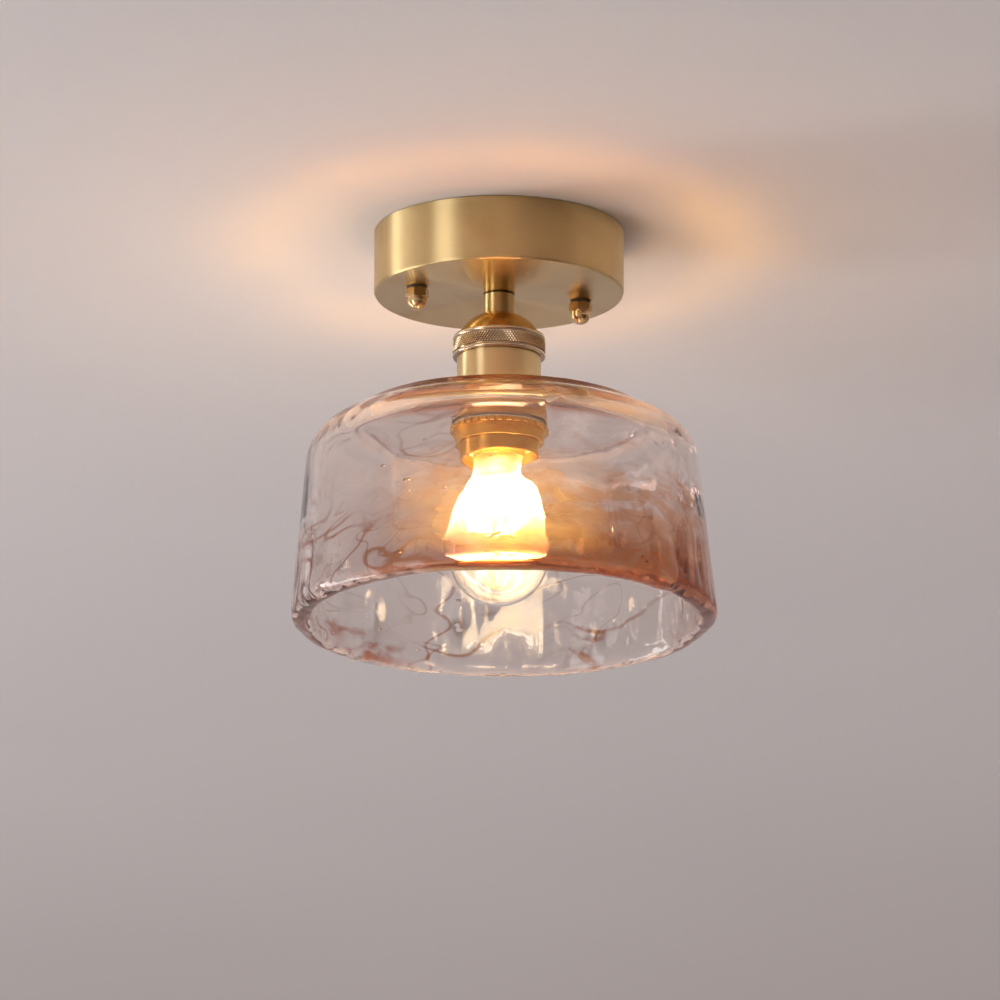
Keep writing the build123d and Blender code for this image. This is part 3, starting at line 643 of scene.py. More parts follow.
    def streaked(self, graph: Graph, at: GlassPlace) -> Socket:
        """Colour of the glass with its amber cloud, the stained rim and the wisps.

        Args:
            graph: The material's nodes.
            at: Where the point lies.

        Returns:
            The colour.
        """
        height, cloud, streak = at.height, at.cloud, at.streak
        reach = graph.ease(height + 0.07 * (cloud - 0.5) + 0.02 * (0.5 - streak), *self.amber_reach)
        band = reach * at.dense * at.outside
        smear = graph.ease(graph.along(at.place, self.smear_side), *self.smear_reach)
        mottle = 0.55 * graph.ease(cloud, 0.4, 0.6) + 0.45 * streak
        deepness = (0.3 + 0.7 * graph.ease(height, *self.amber_depth)) * (0.4 + 0.6 * mottle)
        deepness = deepness + 0.4 * smear + 0.3 * graph.ease(height, *self.amber_foot)
        edge = graph.ease(height - self.smear_lift * smear, *self.edge_reach) * at.outside
        edge = edge * (0.5 + 0.5 * graph.ease(cloud, 0.35, 0.55))
        edge = edge * at.dense.math("MAXIMUM", at.dense, smear * (0.15 + 0.85 * streak))
        ambered = graph.mix(self.pale_amber, self.amber, deepness)
        tinted = graph.mix(self.crown_shaded(graph, at), ambered, band.math("MAXIMUM", band, edge))
        patch = graph.ease(graph.noise(at.place, self.patch_cells, 2.0), 0.4, 0.6)
        low = graph.ease(height, 0.09, 0.01)
        wisps = sum(strand.shown(graph, at.flow) for strand in self.strands)
        wisps = wisps * (0.2 + 0.8 * patch) * (0.3 + 0.7 * low) * at.outside
        wisps = wisps + self.amber_strand.shown(graph, at.drawn) * band
        return graph.mix(tinted, self.wisp, wisps)

    def skin(self, graph: Graph, at: GlassPlace) -> Socket:
        """Fine ripple of the skin, calmer at the top and before the bulb.

        Args:
            graph: The material's nodes.
            at: Where the point lies.

        Returns:
            The skin's normal.
        """
        calm = 0.12 + 0.88 * graph.ease(at.height, 0.075, 0.02)
        calm = calm * (1 - 0.7 * at.near * graph.ease(abs(at.across), 0.05, 0.025))
        broad, fine = self.relief_cells
        ripple = graph.noise(at.place, broad, 3.0) + 0.4 * graph.noise(at.place, fine, 2.0)
        return graph.bump(ripple * calm, self.relief, self.relief_depth)

    def glow(self, graph: Graph, at: GlassPlace) -> Socket:
        """Share of the glass that the bulb lights up: round it, and under the crown.

        Args:
            graph: The material's nodes.
            at: Where the point lies.

        Returns:
            The share, from 0 to 1.
        """
        facing = at.near * at.outside
        halo = graph.ease(abs(at.across), *self.halo_width) * facing
        halo = halo * graph.ease(at.height, *self.halo_top) * graph.ease(at.height, *self.halo_foot)
        uneven = graph.ease(graph.noise(at.flow, self.halo_cells, 3.0), 0.28, 0.72)
        halo = halo * (0.5 + 0.5 * uneven)
        crest = graph.ease(at.height, *self.crest_foot) * graph.ease(at.height, *self.crest_top)
        return self.halo_share * halo + self.crest_share * crest * facing

    def passing(self, graph: Graph, at: GlassPlace) -> Socket:
        """Where the glass lets the bulb's light through: a broken ring, and some in its middle.

        Args:
            graph: The material's nodes.
            at: Where the point lies.

        Returns:
            The shader for the rays that look for lamps.
        """
        deep = self.light_squash * (at.front + self.light_shift)
        beam = (at.across * at.across + deep * deep) ** 0.5 + self.light_waver * (at.cloud - 0.5)
        inside, core = (self.light_circle - width for width in self.light_inside)
        ring = graph.ease(beam, inside, self.light_circle)
        ring = ring * graph.ease(beam, *(self.light_circle + width for width in self.light_outside))
        lobes = graph.ease(graph.noise(at.place, self.light_cells, 1.0), 0.38, 0.58)
        ring = ring * (0.45 + 0.55 * lobes)
        middle = self.light_middle * graph.ease(beam, core, inside)
        held, passed = (graph.see_through(tint) for tint in (self.light_held, self.light_passed))
        return graph.blend(held, passed, ring.math("MAXIMUM", ring, middle))

    def build(self, graph: Graph) -> None:
        """Wisps and an amber cloud above the rim, in clear tinted glass with a rippled skin.

        Args:
            graph: The material's nodes.
        """
        at = self.survey(graph)
        glass = graph.principled(base_color=self.streaked(graph, at), transmission_weight=1.0,
                                 ior=self.ior, roughness=0.0, normal=self.skin(graph, at))
        lit = graph.node("ShaderNodeBsdfTranslucent", inputs={"Color": (*self.lit_amber, 1.0)})
        depth = graph.node("ShaderNodeVolumeAbsorption",
                           inputs={"Color": (*self.depth_tint, 1.0), "Density": self.depth_density})
        body = graph.blend(glass, lit, self.glow(graph, at))
        graph.finish(graph.for_shadows(body, self.passing(graph, at)), depth)


@dataclass(frozen=True)
class GlowingRod(Finish):
    """Lit filament."""

    glow: Colour
    strength: float
    spill: float
    bead: Colour = (1.0, 0.86, 0.62)
    bead_cells: float = 700.0
    body: Colour = (0.02, 0.02, 0.02)

    def build(self, graph: Graph) -> None:
        """Bright to the eye and in gloss, faint for the light that surfaces pass on.

        Args:
            graph: The material's nodes.
        """
        graph.owner.cycles.emission_sampling = "NONE"
        beads = graph.ease(graph.noise(graph.place(), self.bead_cells, 1.0), 0.3, 0.7)
        colour = graph.mix(self.glow, self.bead, beads)
        bright, faint = (graph.principled(base_color=(*self.body, 1.0), roughness=0.6,
                                          emission_color=colour, emission_strength=strength)
                         for strength in (self.strength, self.spill))
        is_passed_on = graph.node("ShaderNodeLightPath", output="Is Diffuse Ray")
        graph.finish(graph.blend(bright, faint, is_passed_on))


@dataclass(frozen=True)
class Plaster(Finish):
    """Pale ceiling, seen only from the room."""

    tone: Colour
    shade: Colour
    cloud_cells: float = 2.0
    skin_cells: float = 260.0
    skin_depth: float = 0.5 * MM

    def build(self, graph: Graph) -> None:
        """Rolled paint from below, nothing from above.

        Args:
            graph: The material's nodes.
        """
        place = graph.place()
        cloud = graph.noise(place, self.cloud_cells, 3.0)
        skin = graph.noise(place, self.skin_cells, 3.0)
        colour = graph.mix(self.tone, self.shade, graph.ease(cloud, 0.3, 0.7))
        paint = graph.principled(base_color=colour, roughness=0.9,
                                 normal=graph.bump(skin, 0.08, self.skin_depth))
        behind = graph.node("ShaderNodeNewGeometry", output="Backfacing")
        graph.finish(graph.blend(paint, graph.see_through((1.0, 1.0, 1.0)), behind))


BRASS: Colour = (0.88, 0.70, 0.38)
BRASS_DARK: Colour = (0.75, 0.54, 0.25)
SATIN_BRASS = TurnedMetal("satin_brass", BRASS, BRASS_DARK, 0.42, 1.0)
# Painted light: below the glass's top the shell is a darker orange copy of the brass for the amber
# bulb light on it, and above it a paler copy that is a painted highlight.
SHELL_BRASS = TurnedMetal("shell_brass", (0.76, 0.45, 0.12), (0.54, 0.28, 0.06), 0.40, 1.0,
                          upper_tone=(0.94, 0.76, 0.44), upper_level=-0.0885)
STEM_BRASS = TurnedMetal("stem_brass", BRASS, BRASS_DARK, 0.42, 1.0, seam=-0.031)
POLISHED_BRASS = PlatedMetal("polished_brass", (0.84, 0.62, 0.36), (0.66, 0.42, 0.2), 0.24)
# Painted light: a darker, more orange copy of the brass, for the amber bulb light on the shade ring
# inside the glass.
RING_BRASS = TurnedMetal("ring_brass", (0.76, 0.43, 0.10), (0.50, 0.24, 0.04), 0.42, 0.0)
# Painted light on one brass cap: the knurl's pale tone is a painted sheen for its sparkle, the
# darker upper tone on the dome is painted shade, and the knurl's grooves get painted shade.
KNURLED_BRASS = TurnedMetal("knurled_brass", (0.86, 0.72, 0.54), (0.62, 0.47, 0.32), 0.17, 0.0,
                            relief=0.1, upper_tone=(0.66, 0.44, 0.17), upper_level=-0.0525,
                            groove=(0.02222, 0.02192))
PLAIN_BRASS = PlatedMetal("plain_brass", (0.78, 0.58, 0.28), (0.52, 0.36, 0.16), 0.32)
ZINC_STEEL = PlatedMetal("zinc_steel", (0.66, 0.67, 0.66), (0.48, 0.49, 0.46), 0.36)
NICKEL = PlatedMetal("nickel", (0.72, 0.70, 0.66), (0.55, 0.52, 0.47), 0.22)
SPRING_BRONZE = PlatedMetal("spring_bronze", (0.74, 0.46, 0.26), (0.5, 0.3, 0.16), 0.3)
PORCELAIN = Moulded("porcelain", (0.80, 0.78, 0.73), (0.74, 0.71, 0.65), 0.32, 260.0, 0.1, 0.8)
SILICONE = Moulded("silicone", (0.72, 0.70, 0.66), (0.62, 0.60, 0.56), 0.55, 700.0, 0.2)
BLACK_RUBBER = Moulded("black_rubber", (0.03, 0.028, 0.026), (0.055, 0.05, 0.045), 0.6, 900.0, 0.3)
WHITE_NYLON = Moulded("white_nylon", (0.78, 0.77, 0.72), (0.70, 0.69, 0.64), 0.42, 600.0, 0.2)
GREY_FOAM = Moulded("grey_foam", (0.32, 0.32, 0.33), (0.22, 0.22, 0.23), 0.9, 1400.0, 0.8)
DARK_VITRITE = Moulded("dark_vitrite", (0.035, 0.03, 0.035), (0.07, 0.06, 0.06), 0.18, 300.0, 0.1,
                       0.5)
BROWN_WIRE = Insulation("brown_wire", (0.17, 0.075, 0.03), (0.15, 0.065, 0.026))
BLUE_WIRE = Insulation("blue_wire", (0.03, 0.13, 0.42), (0.026, 0.115, 0.38))
EARTH_WIRE = Insulation("earth_wire", (0.10, 0.36, 0.06), (0.72, 0.62, 0.05))
# Its top colour is a painted reflection of the brass holder.
BULB_GLASS = ClearGlass("bulb_glass", (0.985, 0.975, 0.95), neck_reflection=(0.38, 0.17, 0.02),
                        neck_level=-0.114, frost=0.42, frost_top=-0.147, frost_foot=-0.166)
FILAMENT = GlowingRod("filament", (1.0, 0.60, 0.28), strength=1500.0, spill=1.0)
CEILING_PAINT = Plaster("ceiling_paint", (0.78, 0.74, 0.755), (0.75, 0.71, 0.725))

CAD_FINISHES: dict[Finish, tuple[str, ...]] = {
    SATIN_BRASS: ("canopy",),
    SHELL_BRASS: ("holder_shell",),
    STEM_BRASS: ("stem_sleeve",),
    KNURLED_BRASS: ("holder_cap",),
    RING_BRASS: ("shade_ring",),
    POLISHED_BRASS: ("cap_nut_left", "cap_nut_right"),
    PLAIN_BRASS: ("nipple", "nipple_nut", "terminal_tubes", "core_posts", "core_rivets",
                  "screw_shell"),
    ZINC_STEEL: ("crossbar", "crossbar_studs", "stud_lock_nuts", "earth_screw", "nipple_washer",
                 "terminal_screws", "post_screws", "bulb_mast"),
    NICKEL: ("bulb_cap", "bulb_tip", "earth_lug"),
    SPRING_BRONZE: ("centre_contact",),
    PORCELAIN: ("porcelain_core",),
    SILICONE: ("upper_gasket", "lower_gasket"),
    BLACK_RUBBER: ("nut_washer_left", "nut_washer_right"),
    WHITE_NYLON: ("terminal_block", "nipple_bush"),
    GREY_FOAM: ("terminal_pad",),
    DARK_VITRITE: ("bulb_insulator",),
    BROWN_WIRE: ("live_wire",),
    BLUE_WIRE: ("neutral_wire",),
    EARTH_WIRE: ("earth_wire",),
    BULB_GLASS: ("bulb_globe", "bulb_stem"),
    FILAMENT: ("bulb_filaments",),
}


def dress_cad(nodes: dict[str, bpy.types.Object]) -> None:
    """Give each CAD node listed in the finish table its finish.

    Args:
        nodes: The frame's node objects by name.
    """
    for finish, names in CAD_FINISHES.items():
        for name in names:
            node = nodes[name]
            if not node.material_slots:
                node.data.materials.append(None)
            for slot in node.material_slots:
                slot.material = finish.material()
            LOG.info("dressed %s in %s", name, finish.name)


def spin_round(mesh: bmesh.types.BMesh, steps: int) -> None:
    """Spin everything in a mesh about Z and close the seam.

    Args:
        mesh: An outline in the XZ plane, which becomes a surface.
        steps: Sides of the spin.
    """
    bmesh.ops.spin(mesh, geom=[*mesh.verts, *mesh.edges], cent=(0, 0, 0), axis=(0, 0, 1),
                   angle=FULL_TURN, steps=steps, use_merge=True)
    bmesh.ops.remove_doubles(mesh, verts=mesh.verts, dist=SAME_PLACE)


class Lathe:
    """A turned mesh: a closed outline with rounded corners, spun about Z."""

    def __init__(self, corners: Sequence[Point], bends: Sequence[float], spacing: float,
                 steps: int) -> None:
        """Round the corners, even out the runs and spin.

        Args:
            corners: (radius, level) of each corner, in order round the outline.
            bends: Bend radius at each corner, 0 for a sharp one.
            spacing: Longest run between two points of the outline.
            steps: Sides of the spin.
        """
        self.mesh = bmesh.new()
        points = [self.mesh.verts.new((radius, 0.0, level)) for radius, level in corners]
        for first, second in zip(points, points[1:] + points[:1]):
            self.mesh.edges.new((first, second))
        self._round(points, corners, bends, spacing)
        self._even_out(spacing)
        spin_round(self.mesh, steps)
        bmesh.ops.recalc_face_normals(self.mesh, faces=self.mesh.faces)

    def _round(self, points: list[bmesh.types.BMVert], corners: Sequence[Point],
               bends: Sequence[float], spacing: float) -> None:
        """Bevel each corner into an arc of its bend radius.

        Args:
            points: The outline's points before any bevel.
            corners: Their places.
            bends: Bend radius at each.
            spacing: Length of one segment of an arc.
        """
        count = len(corners)
        for index, bend in enumerate(bends):
            if bend <= 0:
                continue
            here = Vector(corners[index])
            arriving = here - Vector(corners[index - 1])
            leaving = Vector(corners[(index + 1) % count]) - here
            turn = arriving.angle(leaving)
            segments = max(3, round(bend * turn / spacing))
            bmesh.ops.bevel(self.mesh, geom=[points[index]], offset=bend * math.tan(turn / 2),
                            offset_type="OFFSET", segments=segments, profile=0.5,
                            affect="VERTICES", material=-1)

    def _even_out(self, spacing: float) -> None:
        """Cut long runs into lengths no longer than the spacing.

        Args:
            spacing: The longest run.
        """
        for edge in list(self.mesh.edges):
            cuts = math.ceil(edge.calc_length() / spacing) - 1
            if cuts > 0:
                bmesh.ops.subdivide_edges(self.mesh, edges=[edge], cuts=cuts)

    def thread(self, pitch: float, depth: float, top: float, foot: float,
               least_radius: float) -> None:
        """Sink a rounded helical groove into the outside.

        Args:
            pitch: Rise of one turn.
            depth: Depth of the groove.
            top: Level where the thread starts.
            foot: Level where it ends.
            least_radius: Points nearer the axis stay where they are.
        """
        for point in self.mesh.verts:
            radius = math.hypot(point.co.x, point.co.y)
            if radius < least_radius or not foot < point.co.z < top:
                continue
            fade = min(1.0, (top - point.co.z) / pitch, (point.co.z - foot) / pitch)
            phase = FULL_TURN * point.co.z / pitch + math.atan2(point.co.y, point.co.x)
            shrink = 1 - fade * depth * (0.5 + 0.5 * math.cos(phase)) / radius
            point.co.x *= shrink
            point.co.y *= shrink

    def push(self, amount: Callable[[Vector], float]) -> None:
        """Move every point along its normal by an amount that depends on its place.

        Args:
            amount: Gives the distance for a place.
        """
        self.mesh.normal_update()
        moves = [(point, point.normal * amount(point.co)) for point in self.mesh.verts]
        for point, move in moves:
            point.co += move

    def piece(self, name: str, finish: Finish) -> bpy.types.Object:
        """Turn the mesh into a smooth object in the scene.

        Args:
            name: The object's name.
            finish: Its finish.

        Returns:
            The object, at the origin.
        """
        data = bpy.data.meshes.new(name)
        self.mesh.to_mesh(data)
        self.mesh.free()
        data.shade_smooth()
        data.materials.append(finish.material())
        made = bpy.data.objects.new(name, data)
        bpy.context.scene.collection.objects.link(made)
        LOG.info("made %s with %d faces", name, len(data.polygons))
        return made


def grain(place: Vector, cells: Triple, shift: Triple = (0.0, 0.0, 0.0)) -> float:
    """Smooth noise at a place.

    Args:
        place: Point in metres.
        cells: Cells a metre along each axis.
        shift: Where in the noise to start.

    Returns:
        Its value, from about -1 to 1.
    """
    stretched = Vector((place.x * cells[0], place.y * cells[1], place.z * cells[2]))
    return noise.noise(stretched + Vector(shift))


def share_of(value: float, low: float, width: float) -> float:
    """How far a value has come from low over a width, held between 0 and 1."""
    return min(1.0, max(0.0, (value - low) / width))


@dataclass(frozen=True)
class Dent:
    """Shallow dent in the glass: where it is, its half sizes, its depth and how far it counts."""

    bearing: float
    level: float
    half_width: float
    half_height: float
    depth: float
    reach: float = 6.0

    def depth_at(self, bearing: float, radius: float, level: float) -> float:
        """Depth that the dent takes out at a bearing, radius and level.

        Args:
            bearing: Angle round the axis.
            radius: Distance from the axis.
            level: Height in the frame.

        Returns:
            The depth in metres.
        """
        across = math.remainder(bearing - self.bearing, FULL_TURN) * radius / self.half_width
        up = (level - self.level) / self.half_height
        span = across * across + up * up
        return self.depth * math.exp(-span) if span < self.reach else 0.0


@dataclass
class GlassShade:
    """Thick drum of rippled glass that hangs from the lamp holder."""

    hole_radius: float = 20.2 * MM
    hole_bend: float = 1.3 * MM
    top_thickness: float = 6.5 * MM
    crown_radius: float = 70.2 * MM
    step_radius: float = 73.4 * MM
    step_depth: float = 3.2 * MM
    inner_crown_radius: float = 66.0 * MM
    inner_step_radius: float = 74.0 * MM
    inner_step_depth: float = 4.0 * MM
    inner_step_bend: float = 8.0 * MM
    inner_bend: float = 18.0 * MM
    shoulder_radius: float = 92.8 * MM
    shoulder_fall: float = 8.6 * MM
    shoulder_bend: float = 18.0 * MM
    rim_radius: float = 102.2 * MM
    rim_thickness: float = 9.4 * MM
    rim_bend: float = 6.2 * MM
    rim_inner_bend: float = 2.8 * MM
    wall: float = 6.0 * MM
    upright_radius: float = 91.2 * MM
    upright_foot: float = 7.0 * MM
    upright_top: float = 46.0 * MM
    upright_bend: float = 30.0 * MM
    soft_bend: float = 4.0 * MM
    spacing: float = 1.7 * MM
    sides: int = 400
    ripple: float = 0.75 * MM
    swell_cells: Triple = (22.0, 22.0, 22.0)
    swell_shift: Triple = (3.1, 7.7, 1.3)
    hollow: float = 0.7
    hollow_cells: Triple = (46.0, 46.0, 27.0)
    hollow_shift: Triple = (11.0, 5.0, 2.0)
    fold: float = 3.5
    fold_cells: Triple = (30.0, 30.0, 12.0)
    flute: float = 0.16
    flute_cells: Triple = (105.0, 105.0, 15.0)
    clamp_radius: float = 26.0 * MM
    clamp_fade: float = 20.0 * MM
    bubbles: int = 34
    bubble_seed: int = 12
    bubble_size_mm: Span = (0.35, 1.15)
    bubble_length: Span = (1.0, 1.9)
    bubble_depth: float = 0.8
    bubble_foot: float = 8.0 * MM
    bubble_head: float = 14.0 * MM
    dents: int = 60
    dent_seed: int = 5
    dent_rise: Triple = (0.006, 0.045, 0.014)
    dent_width_mm: Span = (2.2, 5.0)
    dent_depth_mm: Span = (0.35, 1.0)
    round_dent: Span = (0.8, 2.0)
    long_dent: Span = (3.0, 5.5)
    tallest_dent: float = 12.0 * MM
    shoulder_dents: int = 16
    shoulder_dent_fall: Span = (0.008, 0.026)
    shoulder_dent_width_mm: Span = (1.6, 3.4)
    shoulder_dent_depth_mm: Span = (0.25, 0.6)
    shoulder_dent_height: Span = (0.8, 2.2)
    clear_bearing: float = math.radians(-106.6)
    clear_span: float = 0.36
    lean_bearing: float = math.radians(-16.6)
    crown_lean: float = 1.2 * MM
    rim_lean: float = 1.4 * MM
    lean_start: float = 28.0 * MM
    lean_fade: float = 30.0 * MM

    def outline(self, top: float, foot: float) -> tuple[list[Point], list[float]]:
        """Corners of the section and the bend at each.

        Args:
            top: Level of the top face.
            foot: Level of the rim.

        Returns:
            The corners as (radius, level), and their bend radii.
        """
        step = top - self.step_depth
        shoulder = step - self.shoulder_fall
        inner = top - self.top_thickness
        corners = [(self.hole_radius, top), (self.crown_radius, top), (self.step_radius, step),
                   (self.shoulder_radius, shoulder), (self.rim_radius, foot),
                   (self.rim_radius - self.rim_thickness, foot),
                   (self.upright_radius, foot + self.upright_foot),
                   (self.upright_radius, foot + self.upright_top),
                   (self.shoulder_radius - self.wall, shoulder - self.top_thickness),
                   (self.inner_step_radius, inner - self.inner_step_depth),
                   (self.inner_crown_radius, inner), (self.hole_radius, inner)]
        bends = [self.hole_bend, self.soft_bend, self.soft_bend, self.shoulder_bend, self.rim_bend,
                 self.rim_inner_bend, self.upright_bend / 2, self.upright_bend,
                 self.shoulder_bend - self.wall, self.inner_step_bend, self.inner_bend,
                 self.hole_bend]
        return corners, bends

    def ripple_at(self, place: Vector, top: float, foot: float) -> float:
        """Height of the hand-made ripple at a place on the glass.

        Args:
            place: Point on the surface.
            top: Level of the top face.
            foot: Level of the rim.

        Returns:
            Distance along the normal.
        """
        free = share_of(math.hypot(place.x, place.y), self.clamp_radius, self.clamp_fade)
        low = (top - place.z) / (top - foot)
        swell = grain(place, self.swell_cells, self.swell_shift)
        hollow = self.hollow * grain(place, self.hollow_cells, self.hollow_shift)
        flute = self.flute * grain(place, self.flute_cells)
        fold = 1.0 - abs(grain(place, self.fold_cells))
        folds = max(0.0, fold - 0.8) * self.fold * max(0.0, low - 0.35)
        return self.ripple * free * ((0.1 + 0.9 * low * low) * (swell + hollow + flute) - folds)

    def draw_dents(self, top: float, foot: float) -> list[Dent]:
        """Draw the small dents that the mould left in the lower wall and the shoulder.

        Args:
            top: Level of the top face.
            foot: Level of the rim.

        Returns:
            The dents.
        """
        draw = random.Random(self.dent_seed)
        made = []
        while len(made) < self.dents:
            width = draw.uniform(*self.dent_width_mm) * MM
            dent = Dent(bearing=draw.uniform(-math.pi, math.pi),
                        level=foot + draw.triangular(*self.dent_rise), half_width=width,
                        half_height=min(self.tallest_dent, width * draw.choice(
                            (draw.uniform(*self.round_dent), draw.uniform(*self.long_dent)))),
                        depth=draw.uniform(*self.dent_depth_mm) * MM)
            aside = abs(math.remainder(dent.bearing - self.clear_bearing, FULL_TURN))
            if aside > self.clear_span:
                made.append(dent)
        for _ in range(self.shoulder_dents):
            width = draw.uniform(*self.shoulder_dent_width_mm) * MM
            made.append(Dent(bearing=draw.uniform(-math.pi, math.pi),
                             level=top - draw.uniform(*self.shoulder_dent_fall), half_width=width,
                             half_height=width * draw.uniform(*self.shoulder_dent_height),
                             depth=draw.uniform(*self.shoulder_dent_depth_mm) * MM))
        return made

    def lean(self, mesh: bmesh.types.BMesh, top: float, foot: float) -> None:
        """Let the glass sit off centre as it was blown, more at the rim than at the crown.

        Args:
            mesh: The glass, whose points move.
            top: Level of the top face.
            foot: Level of the rim.
        """
        side = Vector((math.cos(self.lean_bearing), math.sin(self.lean_bearing), 0.0))
        for point in mesh.verts:
            reach = share_of(math.hypot(point.co.x, point.co.y), self.lean_start, self.lean_fade)
            low = (top - point.co.z) / (top - foot)
            point.co += side * (self.crown_lean * reach + self.rim_lean * low)

    def dent_at(self, place: Vector, dents: Sequence[Dent]) -> float:
        """Depth that the dents take out of the wall at a place.

        Args:
            place: Point on the surface.
            dents: All the dents.

        Returns:
            The depth in metres.
        """
        bearing, radius = math.atan2(place.y, place.x), math.hypot(place.x, place.y)
        if radius < self.step_radius:
            return 0.0
        return sum(dent.depth_at(bearing, radius, place.z) for dent in dents)

    def add_bubbles(self, mesh: bmesh.types.BMesh, top: float, foot: float) -> None:
        """Add small air bubbles inside the wall.

        Args:
            mesh: The glass, to which the bubbles are added.
            top: Level of the top face.
            foot: Level of the rim.
        """
        draw = random.Random(self.bubble_seed)
        shoulder = top - self.step_depth - self.shoulder_fall
        for _ in range(self.bubbles):
            level = draw.uniform(foot + self.bubble_foot, shoulder - self.bubble_head)
            share = (shoulder - level) / (shoulder - foot)
            flare = self.rim_radius - self.shoulder_radius + (self.wall - self.rim_thickness) / 2
            middle = self.shoulder_radius - self.wall / 2 + share * flare
            angle = draw.uniform(0, FULL_TURN)
            size = draw.uniform(*self.bubble_size_mm) * MM
            place = Matrix.Translation((middle * math.cos(angle), middle * math.sin(angle),
                                        level))
            turn = Matrix.Rotation(angle, 4, "Z")
            length = draw.uniform(*self.bubble_length)
            drawn_out = Matrix.Diagonal((self.bubble_depth, length, 1.0, 1.0))
            made = bmesh.ops.create_icosphere(mesh, subdivisions=2, radius=size,
                                              matrix=place @ turn @ drawn_out)
            faces = {face for point in made["verts"] for face in point.link_faces}
            bmesh.ops.reverse_faces(mesh, faces=list(faces))

    def build(self) -> None:
        """Make the glass over the box of its CAD node and put it on the shade's body."""
        lowest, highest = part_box("glass_shade")
        top, foot = highest.z, lowest.z
        corners, bends = self.outline(top, foot)
        turned = Lathe(corners, bends, self.spacing, self.sides)
        dents = self.draw_dents(top, foot)
        turned.push(lambda place: self.ripple_at(place, top, foot) - self.dent_at(place, dents))
        self.add_bubbles(turned.mesh, top, foot)
        self.lean(turned.mesh, top, foot)
        glass = StreakedGlass("shade_glass", rim_level=foot, height=top - foot,
                              rim_middle=self.rim_radius - self.rim_thickness / 2)
        shade = turned.piece("rippled_shade", glass)
        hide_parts("glass_shade")
        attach(shade, "shade")


@dataclass
class BulbCap:
    """Threaded screw cap of the bulb."""

    wall: float = 0.5 * MM
    lip_radius: float = 10.8 * MM
    shoulder: float = 2.4 * MM
    thread_pitch: float = 3.62 * MM
    thread_depth: float = 1.1 * MM
    thread_margin: float = 3.2 * MM
    spacing: float = 0.35 * MM
    sides: int = 72

    def build(self) -> None:
        """Make the threaded cap over its CAD node."""
        lowest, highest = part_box("bulb_cap")
        radius, top, foot = highest.x, highest.z, lowest.z
        corners = [(self.lip_radius, top), (self.lip_radius + self.wall, top),
                   (radius, top - self.shoulder), (radius, foot), (radius - self.wall, foot),
                   (radius - self.wall, top - self.shoulder), (self.lip_radius, top - self.wall)]
        cap = Lathe(corners, [0.0] * len(corners), self.spacing, self.sides)
        cap.thread(self.thread_pitch, self.thread_depth, top - self.shoulder / 2,
                   foot + self.thread_margin, self.lip_radius + self.wall)
        piece = cap.piece("threaded_bulb_cap", NICKEL)
        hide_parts("bulb_cap")
        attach(piece, "bulb")


class Side(Enum):
    """Sides of the camera that a lamp stands on, as turns from it in degrees."""

    FRONT_LEFT = -52.0
    BACK_LEFT = -108.0


@dataclass(frozen=True)
class Softbox:
    """Tall soft lamp that stands round the light."""

    name: str
    side: Side
    distance: float
    level: float
    width: float
    height: float
    power: float
    colour: Colour = (1.0, 1.0, 0.98)
    aim_level: float = -0.1

    def build(self, facing: float) -> None:
        """Stand the lamp at its turn from the camera, aimed at the light.

        Args:
            facing: The camera's azimuth in degrees.
        """
        data = bpy.data.lights.new(self.name, "AREA")
        data.shape = "RECTANGLE"
        data.size, data.size_y = self.width, self.height
        data.energy = self.power
        data.color = self.colour
        lamp = bpy.data.objects.new(self.name, data)
        turn = math.radians(facing + self.side.value)
        lamp.location = (self.distance * math.sin(turn), -self.distance * math.cos(turn),
                         self.level)
        aim = Vector((0, 0, self.aim_level)) - lamp.location
        lamp.rotation_euler = aim.to_track_quat("-Z", "Y").to_euler()
        lamp.visible_camera = False
        bpy.context.scene.collection.objects.link(lamp)
        LOG.info("lamp %s", self.name)


